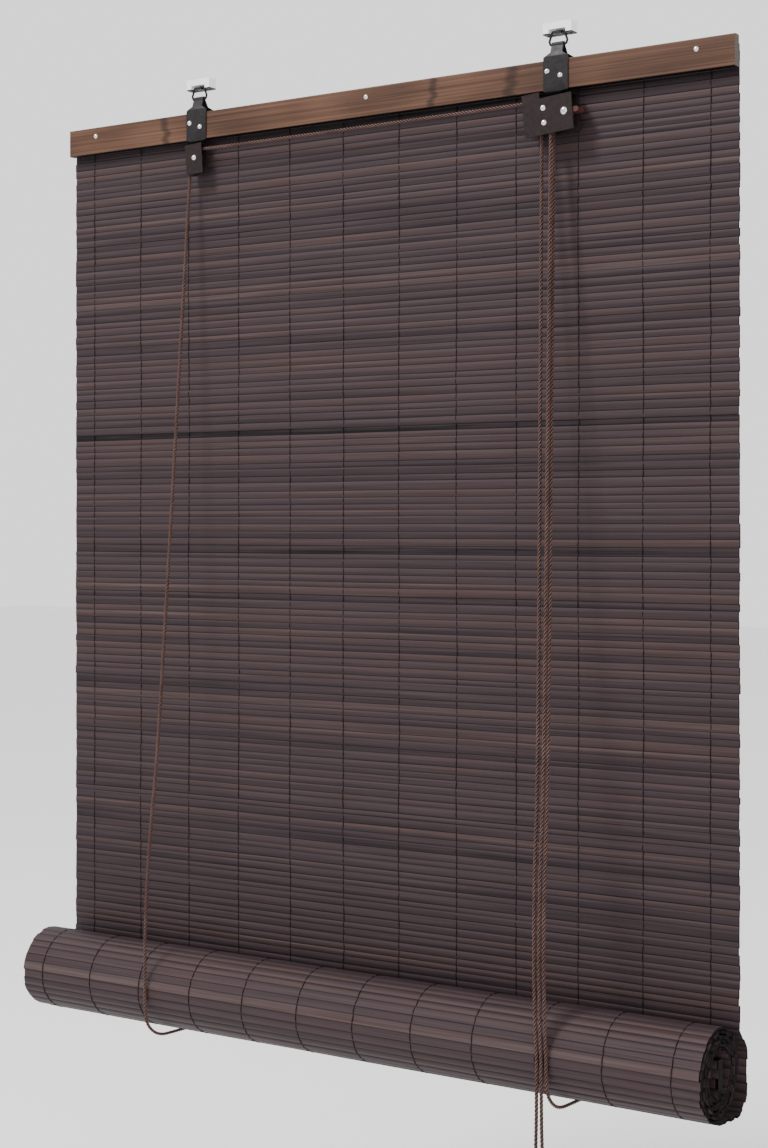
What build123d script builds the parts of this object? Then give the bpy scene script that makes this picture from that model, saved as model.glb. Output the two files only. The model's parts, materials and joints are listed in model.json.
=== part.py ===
from build123d import *
import os
from math import cos, floor, pi, radians, sin

# Bamboo roll-up blind, hung from two ceiling hooks, partly rolled up.
# +X runs along the head rail, +Y goes towards the wall, +Z is up. The origin lies on the
# ceiling, midway between the hooks, above the line on which the head rail swings.

# ---------------------------------------------------------------- driving dimensions, mm
blind_width = 800.0
hanging_drop = 893.0  # top of the head rail to the last slat above the roll, in whole slats
hook_spacing = 436.0
rail_drop = 36.0  # ceiling to the top of the head rail
sheet_back = 6.0  # the hanging sheet's middle plane, behind the line of the eyes

# head rail and its nails
rail_height = 29.0
rail_thickness = 9.0
rail_sheet_gap = 0.1
nail_inset = 38.0  # outer nails from the ends of the rail
nail_down = 9.5
nail_shank_radius = 0.9
nail_head_radius = 2.6
nail_head_height = 1.5

# woven sheet
slat_pitch = 7.2
slat_height = 6.9
slat_thickness = 2.2
slat_front_radius = 0.8
slat_top_margin = 2.0  # least height of rail left bare above the sheet behind it
thread_columns = 12
thread_edge = 28.0
thread_radius = 0.25
thread_offset = 0.05  # between a slat's face and the thread lying on it
hole_clearance = 0.1

# ceiling hooks
block_width = 31.0
block_depth = 12.0
block_front = -3.0
block_height = 10.1
block_edge_radius = 0.8
keeper_thickness = 1.0
pocket_width = 18.0
pocket_back = 4.5
pocket_height = 3.6
tongue_width = 8.4
keeper_lip = 1.5
screw_spacing = 23.6
screw_hole_radius = 1.75

# wire bails between hook and eye
wire_radius = 1.1
bail_top = -8.9
bail_bottom = -21.0
bail_top_half = 6.3
bail_wide_half = 9.7
bail_wide_z = -17.5
bail_bottom_half = 8.5
bail_corner = 1.35
bail_butt_gap = 0.6

# folded straps
strap_metal = 1.2
strap_plate_width = 26.5
strap_neck_width = 12.6
strap_plate_rise = 3.5  # the plate's shoulders above the rail's top
strap_neck_rise = 7.0
eye_clearance = 0.2
strap_back_drop = 21.0
anchor_tab = 10.0
strap_rivets = ((-9.4, -10.5), (4.6, -15.6))
rivet_shank_radius = 1.5
rivet_head_radius = 2.7
rivet_head_height = 1.5
tail_step_drop = 2.5  # this and every drop after it is measured from the rail's bottom
tail_drop = 29.0

# cords and wheels
cord_radius = 1.8
groove_clearance = 0.2
wheel_flange = 0.85
wheel_side_gap = 0.2
flange_rise = 1.1
axle_radius = 2.0
running_clearance = 0.05
axle_head_radius = 2.9
axle_head_height = 1.7
cord_plane = 12.0  # rear cord plane in front of the sheet's middle plane

left_axle_x = 1.0
left_axle_drop = 20.0
left_wheel_radius = 8.5
left_extra_width = 1.0
left_housing_width = 22.0
left_housing_top = 5.5
left_housing_bottom = 37.5
left_housing_lean = 4.0

lock_axle_x = -8.0
lock_axle_drop = 18.0
lock_wheel_radius = 6.5
lock_plate = ((-31, -4.4), (-12.2, -2.9), (-11.8, -8.9), (22, -6), (25, -40.5), (-27.6, -45.1))
lock_web_left = (-31.0, -12.2)
lock_web_right = (3.0, 22.0)
cam_axle_x = 14.2
cam_axle_drop = 23.0
cam_head_radius = 3.6
cam_boss_radius = 5.0
cam_nose_drop = 8.0
cam_nose_gap = 0.3  # between the nose and the cords it pinches
cam_nose_radius = 1.6
cam_tab_length = 15.0
cam_tab_height = 5.0
guide_x = -7.0
guide_drop = 32.0
guide_radius = 2.4

# roll
roll_radius = 41.7
roll_front = 84.0  # the roll's front in front of the sheet's middle plane
roll_pitch = 3.6
roll_core_room = 2.0  # least room above the bottom lath inside the roll
roll_top_gap = 10.2  # the roll's top stands above the last hanging slat's foot
inner_bend = 6.0
bottom_lath_height = 28.0
bottom_lath_thickness = 9.0
lath_seat = 0.1
lead_in_back = 16.6
lead_in_clearance = 0.4
lead_in_fall = 3.3
lead_in_gap = 0.7  # under the last hanging slat, at the middle line

# slings and pull cords
sling_gap = 0.3
sling_bends = (1.3, 27.2)  # the front one is added to the roll's radius
right_sling_out = 31.5  # the right sling, outside the right hook
pull_gap = 1.2  # between the two pull cords
static_end_drop = 49.0
bend_drop = 29.0
joint_gap = 0.3
pull_end_fall = 105.5  # the roll's centre down to the hanks
hank_size = (12.4, 16.0, 84.0)
hank_spacing = 14.6
hank_offset = 4.5  # the front cord's hank, to the right of its cord
tie_height = 11.0
tie_wall = 2.4
knot_radius = 4.2

# ---------------------------------------------------------------- places worked out from them
half_width = blind_width / 2
hook_x = hook_spacing / 2
rail_top = -rail_drop
rail_bottom = rail_top - rail_height
nail_positions = (nail_inset - half_width, 0.0, half_width - nail_inset)
slats_behind_rail = floor((rail_height - slat_top_margin) / slat_pitch)
hanging_slat_count = round((hanging_drop - rail_height) / slat_pitch)
sheet_front = sheet_back - slat_thickness / 2
sheet_rear = sheet_back + slat_thickness / 2
thread_front = sheet_front - thread_offset - thread_radius
thread_rear = sheet_rear + thread_offset + thread_radius
cloth_front = thread_front - thread_radius
cloth_rear = thread_rear + thread_radius
rail_back_face = cloth_front - rail_sheet_gap
rail_front_face = rail_back_face - rail_thickness
strap_front_face = rail_front_face - strap_metal
strap_back_face = cloth_rear + rail_sheet_gap + strap_metal
sheet_end = rail_bottom - hanging_slat_count * slat_pitch
roll_y = sheet_back - roll_front + roll_radius
roll_z = sheet_end - roll_radius + roll_top_gap
core_room = 2 * roll_radius - slat_thickness - inner_bend - bottom_lath_height - roll_core_room
roll_half_turns = 2 * floor((1 + core_room / roll_pitch) / 2)
hooks = {"left": -hook_x, "right": hook_x}

wheel_width = 2 * (cord_radius + groove_clearance + wheel_flange)
rear_cord_y = sheet_back - cord_plane
plate_back_front = rear_cord_y + wheel_width / 2 + wheel_side_gap
plate_back_rear = plate_back_front + strap_metal
front_cord_y = rear_cord_y - wheel_width - wheel_side_gap
lock_front_rear = front_cord_y - wheel_width / 2 - wheel_side_gap
lock_front_front = lock_front_rear - strap_metal
left_front_rear = rear_cord_y - wheel_width / 2 - wheel_side_gap - left_extra_width
left_front_front = left_front_rear - strap_metal
tail_rear = plate_back_rear + strap_metal
back_hole_y = strap_back_face + anchor_tab - strap_metal / 2 - cord_radius - 2.4
left_axle_z = rail_bottom - left_axle_drop
lock_axle_z = rail_bottom - lock_axle_drop
lock_right_x = hook_x + lock_axle_x + lock_wheel_radius
lock_left_x = hook_x + lock_axle_x - lock_wheel_radius
cam_axle_z = rail_bottom - cam_axle_drop
guide_z = rail_bottom - guide_drop

os.makedirs("parts", exist_ok=True)


def write(piece, name):
    """Label a finished piece and write its STEP file."""
    piece.part.label = name
    export_step(piece.part, f"parts/{name}.step")


def front_plane(y):
    """Plane seen from the front: its x is +X, its y is +Z, its normal points to the viewer."""
    return Plane(origin=(0, y, 0), x_dir=(1, 0, 0), z_dir=(0, -1, 0))


def side_plane(x):
    """Plane seen from the right-hand end: its x is +Y, its y is +Z, its normal is +X."""
    return Plane(origin=(x, 0, 0), x_dir=(0, 1, 0), z_dir=(1, 0, 0))


# ---------------------------------------------------------------- ceiling hooks
def hook_block(name, x):
    """White block with a pocket for the bail's bar, open below and in front."""
    middle_y = block_front + block_depth / 2
    with BuildPart() as block:
        with BuildSketch(Plane.XY.offset(-block_height)):
            with Locations((x, middle_y)):
                RectangleRounded(block_width, block_depth, block_edge_radius)
        extrude(amount=block_height)
        with BuildSketch(Plane.XY.offset(-block_height)):
            with Locations((x, (block_front + pocket_back) / 2)):
                Rectangle(pocket_width, pocket_back - block_front)
        extrude(amount=pocket_height, mode=Mode.SUBTRACT)
        with BuildSketch(Plane.XY):
            with Locations((x - screw_spacing / 2, middle_y), (x + screw_spacing / 2, middle_y)):
                Circle(screw_hole_radius)
        extrude(amount=-block_height, mode=Mode.SUBTRACT)
    write(block, name)


def hook_plate(name, x):
    """Steel keeper under the block: the bail's bar rests on its middle tongue, behind a lip."""
    middle_y = block_front + block_depth / 2
    slot_width = (pocket_width - tongue_width) / 2
    slot_depth = pocket_back - block_front
    slot_x = (tongue_width + slot_width) / 2
    with BuildPart() as plate:
        with BuildSketch(Plane.XY.offset(-block_height)):
            with Locations((x, middle_y)):
                RectangleRounded(block_width, block_depth, block_edge_radius)
            slot_y = block_front + slot_depth / 2
            with Locations((x - slot_x, slot_y), (x + slot_x, slot_y)):
                Rectangle(slot_width, slot_depth, mode=Mode.SUBTRACT)
            with Locations((x - screw_spacing / 2, middle_y), (x + screw_spacing / 2, middle_y)):
                Circle(screw_hole_radius, mode=Mode.SUBTRACT)
        extrude(amount=-keeper_thickness)
        with BuildSketch(Plane.XY.offset(-block_height - keeper_thickness)):
            with Locations((x, block_front + keeper_thickness / 2)):
                Rectangle(tongue_width, keeper_thickness)
        extrude(amount=keeper_thickness + keeper_lip)
    write(plate, name)


def bail(name, x):
    """Hexagon of bent wire. Its two ends meet inside the strap's eye."""
    right = [
        (x + bail_butt_gap / 2, bail_bottom),
        (x + bail_bottom_half, bail_bottom),
        (x + bail_wide_half, bail_wide_z),
        (x + bail_top_half, bail_top),
        (x - bail_top_half, bail_top),
        (x - bail_wide_half, bail_wide_z),
        (x - bail_bottom_half, bail_bottom),
        (x - bail_butt_gap / 2, bail_bottom),
    ]
    with BuildPart() as wire:
        with BuildLine() as route:
            FilletPolyline([(px, 0, pz) for px, pz in right], radius=[bail_corner] * 6)
        with BuildSketch(Plane(origin=route.line @ 0, z_dir=route.line % 0)):
            Circle(wire_radius)
        sweep(path=route.line)
    write(wire, name)


# ---------------------------------------------------------------- straps over the head rail
def back_hole_x(x):
    """The cord's hole in the anchor tab, on the outer side of each hook."""
    return 7.5 if x > 0 else -7.5


def strap(name, x, tail_left, tail_right, axle_x, axle_drop):
    """One strip folded over the rail: an eye round the bail, a plate on the rail's front
    held by two rivets, a stepped tail for the axle, and a tab behind for the cord's end."""
    bend = wire_radius + eye_clearance + strap_metal / 2
    leaf_front = strap_front_face + strap_metal / 2
    leaf_back = strap_back_face - strap_metal / 2
    plate_top = rail_top + strap_plate_rise
    tail_y = plate_back_rear + strap_metal / 2
    profile = [
        (leaf_back + anchor_tab, rail_top - strap_back_drop),
        (leaf_back, rail_top - strap_back_drop),
        (leaf_back, plate_top),
        (bend, bail_bottom - 1.6),
        (bend, bail_bottom + bend),
        (-bend, bail_bottom + bend),
        (-bend, bail_bottom - 1.6),
        (leaf_front, plate_top),
        (leaf_front, rail_bottom - tail_step_drop + 1.0),
        (tail_y, rail_bottom - tail_step_drop - 1.2),
        (tail_y, rail_bottom - tail_drop),
    ]
    corner = 1.2
    radii = [1.4, corner, corner, bend - 0.01, bend - 0.01, corner, corner, 1.0, 1.0]
    with BuildPart() as fold:
        with BuildSketch(side_plane(x - strap_plate_width / 2)):
            with BuildLine():
                FilletPolyline(profile, radius=radii)
            trace(line_width=strap_metal)
        extrude(amount=strap_plate_width)
        with BuildSketch(front_plane(strap_front_face - 20)):
            with BuildLine():
                Polyline(
                    (x - strap_neck_width / 2, 0),
                    (x + strap_neck_width / 2, 0),
                    (x + strap_neck_width / 2, rail_top + strap_neck_rise),
                    (x + strap_plate_width / 2, rail_top + strap_plate_rise - 1),
                    (x + strap_plate_width / 2, rail_bottom - 0.5),
                    (x + tail_right, rail_bottom - 1.5),
                    (x + tail_right, rail_bottom - tail_drop - 1),
                    (x + tail_left, rail_bottom - tail_drop - 1),
                    (x + tail_left, rail_bottom - 1.5),
                    (x - strap_plate_width / 2, rail_bottom - 0.5),
                    (x - strap_plate_width / 2, rail_top + strap_plate_rise - 1),
                    (x - strap_neck_width / 2, rail_top + strap_neck_rise),
                    close=True,
                )
            make_face()
        extrude(amount=-60, mode=Mode.INTERSECT)
        for rivet_x, rivet_z in strap_rivets:
            with BuildSketch(front_plane(strap_front_face - 5)):
                with Locations((x + rivet_x, rail_top + rivet_z)):
                    Circle(rivet_shank_radius + running_clearance)
            extrude(amount=-40, mode=Mode.SUBTRACT)
        with BuildSketch(front_plane(plate_back_rear - 0.5)):
            with Locations((x + axle_x, rail_bottom - axle_drop)):
                Circle(axle_radius + running_clearance)
        extrude(amount=-strap_metal - 1, mode=Mode.SUBTRACT)
        with BuildSketch(Plane.XY.offset(rail_top - strap_back_drop - 2)):
            with Locations((x + back_hole_x(x), back_hole_y)):
                Circle(cord_radius + hole_clearance * 2)
        extrude(amount=4, mode=Mode.SUBTRACT)
    write(fold, name)


def dome_rivet(name, x, z, head_front, shank_end, shank_radius, head_radius, head_height):
    """Rivet along Y: a domed head in front, a plain shank and a flat closed head behind."""
    dome = (head_radius**2 + head_height**2) / (2 * head_height)
    foot = head_height * 0.6
    with BuildPart() as rivet:
        with BuildSketch(Plane(origin=(x, head_front, z), x_dir=(1, 0, 0), z_dir=(0, 0, 1))):
            with BuildLine():
                Line((0, -head_height), (0, shank_end - head_front + foot))
                Line((0, shank_end - head_front + foot), (head_radius, shank_end - head_front + foot))
                Line((head_radius, shank_end - head_front + foot), (head_radius, shank_end - head_front))
                Line((head_radius, shank_end - head_front), (shank_radius, shank_end - head_front))
                Line((shank_radius, shank_end - head_front), (shank_radius, 0))
                Line((shank_radius, 0), (head_radius, 0))
                RadiusArc((head_radius, 0), (0, -head_height), dome)
            make_face()
        revolve(axis=Axis((x, 0, z), (0, 1, 0)))
    if name:
        write(rivet, name)
    return rivet


def strap_rivet_pair(name, x):
    """The two rivets that close a strap on the rail, as one group of separate solids."""
    pair = []
    for rivet_x, rivet_z in strap_rivets:
        rivet = dome_rivet(
            None, x + rivet_x, rail_top + rivet_z, strap_front_face, strap_back_face,
            rivet_shank_radius, rivet_head_radius, rivet_head_height,
        )
        pair.append(rivet.part)
    with BuildPart() as group:
        for piece in pair:
            add(piece)
    write(group, name)


# ---------------------------------------------------------------- head rail
def head_rail():
    """Bamboo lath drilled for its nails and rivets."""
    with BuildPart() as rail:
        with BuildSketch(side_plane(-half_width)):
            with Locations(((rail_front_face + rail_back_face) / 2, (rail_top + rail_bottom) / 2)):
                RectangleRounded(rail_thickness, rail_height, 1.2)
        extrude(amount=blind_width)
        with BuildSketch(front_plane(rail_front_face)):
            with Locations([(x, rail_top - nail_down) for x in nail_positions]):
                Circle(nail_shank_radius + running_clearance)
            with Locations([(h + dx, rail_top + dz) for h in hooks.values() for dx, dz in strap_rivets]):
                Circle(rivet_shank_radius + running_clearance)
        extrude(amount=-rail_thickness, mode=Mode.SUBTRACT)
    write(rail, "head_rail")


def rail_nails():
    """Dome-headed nails through the rail and the sheet's top slats."""
    dome = (nail_head_radius**2 + nail_head_height**2) / (2 * nail_head_height)
    with BuildPart() as nails:
        for x in nail_positions:
            z = rail_top - nail_down
            length = sheet_rear - rail_front_face + 1.0
            with BuildSketch(Plane(origin=(x, rail_front_face, z), x_dir=(1, 0, 0), z_dir=(0, 0, 1))):
                with BuildLine():
                    Polyline(
                        (0, -nail_head_height),
                        (0, length),
                        (nail_shank_radius, length - 1.2),
                        (nail_shank_radius, 0),
                        (nail_head_radius, 0),
                    )
                    RadiusArc((nail_head_radius, 0), (0, -nail_head_height), dome)
                make_face()
            revolve(axis=Axis((x, 0, z), (0, 1, 0)))
    write(nails, "rail_nails")


# ---------------------------------------------------------------- woven sheet
def slat_bars(name, top, count):
    """Split-bamboo slats with rounded fronts, one under the other from the height given."""
    with BuildPart() as slats:
        with BuildSketch(side_plane(-half_width)) as section:
            for number in range(count):
                middle = top - slat_pitch * (number + 0.5)
                with Locations((sheet_back, middle)):
                    Rectangle(slat_thickness, slat_height)
            fillet(section.vertices().group_by(Axis.X)[0], slat_front_radius)
        extrude(amount=blind_width)
        if top > rail_bottom:
            with BuildSketch(front_plane(sheet_front - 1)):
                with Locations([(x, rail_top - nail_down) for x in nail_positions]):
                    Circle(nail_shank_radius + hole_clearance)
                with Locations([(h + dx, rail_top + dz) for h in hooks.values() for dx, dz in strap_rivets]):
                    Circle(rivet_shank_radius + hole_clearance)
            extrude(amount=-slat_thickness - 2, mode=Mode.SUBTRACT)
    write(slats, name)


def warp_threads():
    """Pairs of threads that hold the slats, one strand in front and one behind in each column."""
    span = blind_width - 2 * thread_edge
    columns = [-half_width + thread_edge + span * n / (thread_columns - 1) for n in range(thread_columns)]
    with BuildPart() as threads:
        with BuildSketch(Plane.XY.offset(sheet_end)):
            with Locations([(x, y) for x in columns for y in (thread_front, thread_rear)]):
                Circle(thread_radius)
        extrude(amount=rail_bottom - sheet_end)
    write(threads, "warp_threads")


# ---------------------------------------------------------------- roll
def lead_in_points():
    """Middle line of the loose last stretch of the sheet, from the hanging part round the
    back of the roll to its underside."""
    under = roll_z - roll_radius - lead_in_clearance - slat_thickness / 2
    return [
        (sheet_back, sheet_end - lead_in_gap),
        (sheet_back + lead_in_back, sheet_end - 19.0),
        (sheet_back + lead_in_back, under - lead_in_fall),
        (roll_y, under),
    ]


def lead_in_sheet():
    """The sheet's loose outer turn."""
    with BuildPart() as sheet:
        with BuildSketch(side_plane(-half_width)):
            with BuildLine():
                FilletPolyline(lead_in_points(), radius=[18, 24])
            trace(line_width=slat_thickness)
        extrude(amount=blind_width)
    write(sheet, "lead_in_sheet")


def roll_turns():
    """The rolled sheet: half circles of shrinking radius, then a bend onto the bottom lath."""
    with BuildPart() as roll:
        with BuildSketch(side_plane(-half_width)):
            bottom = roll_z - roll_radius
            for number in range(roll_half_turns):
                radius = roll_radius - number * roll_pitch / 2
                front = number % 2 == 0
                middle = roll_z if front else roll_z + roll_pitch / 2
                turn = 90 if front else 270
                with BuildLine():
                    outer = CenterArc((roll_y, middle), radius, turn, 180)
                    inner = CenterArc((roll_y, middle), radius - slat_thickness, turn, 180)
                    Line(outer @ 0, inner @ 0)
                    Line(outer @ 1, inner @ 1)
                make_face()
            tail_bottom = bottom + roll_half_turns * roll_pitch / 2
            with BuildLine():
                outer = CenterArc((roll_y, tail_bottom + inner_bend), inner_bend, 180, 90)
                inner = CenterArc((roll_y, tail_bottom + inner_bend), inner_bend - slat_thickness, 180, 90)
                Line(outer @ 0, inner @ 0)
                Line(outer @ 1, inner @ 1)
            make_face()
            tail_middle = tail_bottom + inner_bend + bottom_lath_height / 2
            with Locations((roll_y - inner_bend + slat_thickness / 2, tail_middle)):
                Rectangle(slat_thickness, bottom_lath_height)
        extrude(amount=blind_width)
    write(roll, "roll_turns")
    return tail_bottom + inner_bend


def bottom_lath(foot):
    """Weight lath on which the sheet's inner end lies."""
    with BuildPart() as lath:
        with BuildSketch(side_plane(-half_width)):
            middle = roll_y - inner_bend + slat_thickness + lath_seat + bottom_lath_thickness / 2
            with Locations((middle, foot + 0.2 + bottom_lath_height / 2)):
                RectangleRounded(bottom_lath_thickness, bottom_lath_height, 1.2)
        extrude(amount=blind_width)
    write(lath, "bottom_lath")


# ---------------------------------------------------------------- cord housings and wheels
def leaned(points, x, z, angle):
    """Points turned about (x, z) in the front view."""
    c = cos(radians(angle))
    s = sin(radians(angle))
    return [(x + (px - x) * c - (pz - z) * s, z + (px - x) * s + (pz - z) * c) for px, pz in points]


def left_housing():
    """Folded channel over the left wheel, open to both sides and below."""
    x = -hook_x + left_axle_x
    z = left_axle_z
    half = left_housing_width / 2
    top = rail_bottom - left_housing_top
    foot = rail_bottom - left_housing_bottom
    outside = [(x - half, top), (x + half, top), (x + half, foot), (x - half, foot)]
    hollow_half = half + 5
    hollow_top = top - strap_metal
    hollow_foot = foot - 9
    hollow = [
        (x - hollow_half, hollow_top),
        (x + hollow_half, hollow_top),
        (x + hollow_half, hollow_foot),
        (x - hollow_half, hollow_foot),
    ]
    outline = leaned(outside, x, z, left_housing_lean)
    inside = leaned(hollow, x, z, left_housing_lean)
    with BuildPart() as housing:
        with BuildSketch(front_plane(plate_back_rear)):
            with BuildLine():
                Polyline(*outline, close=True)
            make_face()
        extrude(amount=plate_back_rear - left_front_front)
        with BuildSketch(front_plane(plate_back_front)):
            with BuildLine():
                Polyline(*inside, close=True)
            make_face()
        extrude(amount=plate_back_front - left_front_rear, mode=Mode.SUBTRACT)
        with BuildSketch(front_plane(plate_back_rear)):
            with Locations((x, z)):
                Circle(axle_radius + running_clearance)
        extrude(amount=plate_back_rear - left_front_front, mode=Mode.SUBTRACT)
        fillet(housing.edges().filter_by(Axis.Y).group_by(Axis.Z)[0], 2.0)
    write(housing, "left_pulley_housing")


def lock_outline():
    """Corners of the lock's plates."""
    return [(hook_x + x, rail_bottom + z) for x, z in lock_plate]


def right_housing():
    """Cord lock: two equal plates joined by webs along their top edges, open to the sides."""
    slope = (lock_plate[1][1] - lock_plate[0][1]) / (lock_plate[1][0] - lock_plate[0][0])
    low_slope = (lock_plate[3][1] - lock_plate[2][1]) / (lock_plate[3][0] - lock_plate[2][0])
    with BuildPart() as housing:
        for rear in (plate_back_rear, lock_front_rear):
            with BuildSketch(front_plane(rear)):
                with BuildLine():
                    Polyline(*lock_outline(), close=True)
                make_face()
            extrude(amount=strap_metal)
        for (start, end), corner, rise in (
            (lock_web_left, lock_plate[1], slope),
            (lock_web_right, lock_plate[3], low_slope),
        ):
            ends = [
                (hook_x + start, rail_bottom + corner[1] + (start - corner[0]) * rise),
                (hook_x + end, rail_bottom + corner[1] + (end - corner[0]) * rise),
            ]
            with BuildSketch(front_plane(plate_back_rear)):
                with BuildLine():
                    Polyline(
                        *ends,
                        (ends[1][0], ends[1][1] - strap_metal),
                        (ends[0][0], ends[0][1] - strap_metal),
                        close=True,
                    )
                make_face()
            extrude(amount=plate_back_rear - lock_front_front)
        with BuildSketch(front_plane(plate_back_rear)):
            with Locations(
                (hook_x + lock_axle_x, lock_axle_z),
                (hook_x + cam_axle_x, cam_axle_z),
                (hook_x + guide_x, guide_z),
            ):
                Circle(axle_radius + running_clearance)
        extrude(amount=plate_back_rear - lock_front_front, mode=Mode.SUBTRACT)
        fillet(housing.edges().filter_by(Axis.Y).group_by(Axis.Z)[0], 1.5)
    write(housing, "right_lock_housing")


def wheel(name, x, z, y, radius, hub_rear, hub_front):
    """Grooved wheel turning about Y. Its hub runs from one plate to the other."""
    groove = cord_radius + groove_clearance
    rim = radius + flange_rise
    core = axle_radius + running_clearance
    hub = core + 1.4
    half = wheel_width / 2
    with BuildPart() as disc:
        with BuildSketch(Plane(origin=(x, y, z), x_dir=(1, 0, 0), z_dir=(0, 0, 1))):
            with Locations(((core + rim) / 2, 0)):
                Rectangle(rim - core, wheel_width)
            with Locations(((core + hub) / 2, (hub_rear + hub_front) / 2 - y)):
                Rectangle(hub - core, hub_rear - hub_front)
            with Locations((radius, 0)):
                Circle(groove, mode=Mode.SUBTRACT)
            with Locations((radius + groove, 0)):
                Rectangle(groove * 2, groove * 2, mode=Mode.SUBTRACT)
        revolve(axis=Axis((x, 0, z), (0, 1, 0)))
    write(disc, name)


def lock_cam():
    """Nose that pinches the cords, with a finger tab beyond the housing's right side."""
    x = hook_x + cam_axle_x
    z = cam_axle_z
    nose_x = lock_right_x + cord_radius + cam_nose_gap - x
    nose_z = -cam_nose_drop
    rear = plate_back_front - wheel_side_gap
    depth = rear - lock_front_rear - wheel_side_gap
    with BuildPart() as cam:
        with BuildSketch(front_plane(rear)):
            with Locations((x, z)):
                Circle(cam_boss_radius)
            with BuildLine():
                Polyline(
                    (x - 1.6, z + cam_boss_radius - 0.6),
                    (x + nose_x + cam_nose_radius * 0.5, z + nose_z + cam_nose_radius),
                    (x + nose_x + cam_nose_radius * 0.5, z + nose_z - cam_nose_radius),
                    (x + 1.2, z - cam_boss_radius + 0.6),
                    close=True,
                )
            make_face()
            with Locations((x + nose_x + cam_nose_radius, z + nose_z)):
                Circle(cam_nose_radius)
            with Locations((x + cam_tab_length / 2, z + 0.6)):
                SlotOverall(cam_tab_length, cam_tab_height)
            with Locations((x, z)):
                Circle(axle_radius + running_clearance, mode=Mode.SUBTRACT)
        extrude(amount=depth)
    write(cam, "lock_cam")


def guide_spacer():
    """Tube round the guide rivet that keeps the two pull cords apart."""
    rear = plate_back_front - wheel_side_gap / 2
    with BuildPart() as spacer:
        with BuildSketch(front_plane(rear)):
            with Locations((hook_x + guide_x, guide_z)):
                Circle(guide_radius)
                Circle(axle_radius + running_clearance, mode=Mode.SUBTRACT)
        extrude(amount=rear - lock_front_rear - wheel_side_gap / 2)
    write(spacer, "guide_spacer")


# ---------------------------------------------------------------- cords
def cord(name, points, radii):
    """Round cord swept along straight runs joined by tangent arcs. Prints each arc's radius."""
    with BuildPart() as tube:
        with BuildLine() as route:
            if len(points) > 2:
                FilletPolyline(points, radius=radii)
            else:
                Line(*points)
        with BuildSketch(Plane(origin=route.line @ 0, z_dir=route.line % 0)):
            Circle(cord_radius)
        sweep(path=route.line)
    length = sum(edge.length for edge in route.line.edges())
    section = pi * cord_radius**2
    print(f"{name}: length {length:.1f} mm, radii {[round(r, 1) for r in radii]}, "
          f"volume over section times length {tube.part.volume / (section * length):.4f}")
    write(tube, name)


def on_line(start, end, z):
    """The point at height z on the line from start to end."""
    share = (z - start[2]) / (end[2] - start[2])
    return tuple(a + (b - a) * share for a, b in zip(start, end))


roll_cord_y = roll_y - roll_radius - lead_in_clearance - cord_radius
sling_top = roll_z - 2.4
left_groove_x = -hook_x + left_axle_x - left_wheel_radius
bend_z = rail_bottom - bend_drop
static_end = rail_bottom - static_end_drop
cross_left_z = left_axle_z + left_wheel_radius
cross_right_z = lock_axle_z + lock_wheel_radius
left_sling_x = left_groove_x
right_sling_x = hook_x + right_sling_out
pull_spacing = 2 * cord_radius + pull_gap
pull_x = (right_sling_x - pull_spacing - 0.2, right_sling_x - 2 * pull_spacing - 0.2)
bend_radius = 90.0


def cross_cord():
    """Left cord from the left wheel along the rail, over the lock's front wheel and down."""
    foot = (pull_x[0], roll_cord_y, roll_z)
    bend = (lock_right_x, front_cord_y, bend_z)
    points = [
        (left_groove_x, rear_cord_y, left_axle_z - 8),
        (left_groove_x, rear_cord_y, cross_left_z),
        (lock_right_x, front_cord_y, cross_right_z),
        bend,
        on_line(bend, foot, static_end),
    ]
    cord("cross_cord", points, [left_wheel_radius, lock_wheel_radius, bend_radius])


def lock_cord():
    """Right cord over the lock's rear wheel, both ends leaving the lock below."""
    lift_foot = (right_sling_x, roll_cord_y, roll_z)
    pull_foot = (pull_x[1], roll_cord_y, roll_z)
    right_bend = (lock_right_x, rear_cord_y, bend_z)
    left_bend = (lock_left_x, rear_cord_y, bend_z)
    points = [
        on_line(right_bend, lift_foot, static_end),
        right_bend,
        (lock_right_x, rear_cord_y, cross_right_z),
        (lock_left_x, rear_cord_y, cross_right_z),
        left_bend,
        on_line(left_bend, pull_foot, static_end),
    ]
    turn = lock_wheel_radius - 0.01
    cord("lock_cord", points, [bend_radius, turn, turn, bend_radius])


def lift_cords():
    """Straight runs down the front of the sheet, and up again behind it."""
    left_top = (left_groove_x, rear_cord_y, left_axle_z - 8 - joint_gap)
    left_foot = (left_sling_x, roll_cord_y, roll_z)
    cord("left_lift_front", [left_top, left_foot], [])
    right_bend = (lock_right_x, rear_cord_y, bend_z)
    right_foot = (right_sling_x, roll_cord_y, roll_z)
    right_top = on_line(right_bend, right_foot, static_end - joint_gap)
    cord("right_lift_front", [right_top, right_foot], [])
    for side, sling_x in (("left", left_sling_x), ("right", right_sling_x)):
        x = hooks[side]
        hole = (x + back_hole_x(x), back_hole_y, rail_top - strap_back_drop + strap_metal / 2)
        foot = (sling_x, sling_back_y, sling_top + joint_gap)
        cord(f"{side}_lift_back", [hole, foot], [])


lead_in_outer = slat_thickness / 2 + sling_gap + cord_radius
sling_back_y = sheet_back + lead_in_back + lead_in_outer
sling_under = lead_in_points()[2][1] - lead_in_outer


def slings():
    """The cord under the roll, from its front round the loose turn to its back."""
    for side, x in (("left", left_sling_x), ("right", right_sling_x)):
        points = [
            (x, roll_cord_y, sling_top - joint_gap),
            (x, roll_cord_y, sling_under + 1.2),
            (x, sling_back_y, sling_under),
            (x, sling_back_y, sling_top),
        ]
        cord(f"{side}_sling", points, [roll_radius + sling_bends[0], sling_bends[1]])


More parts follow.
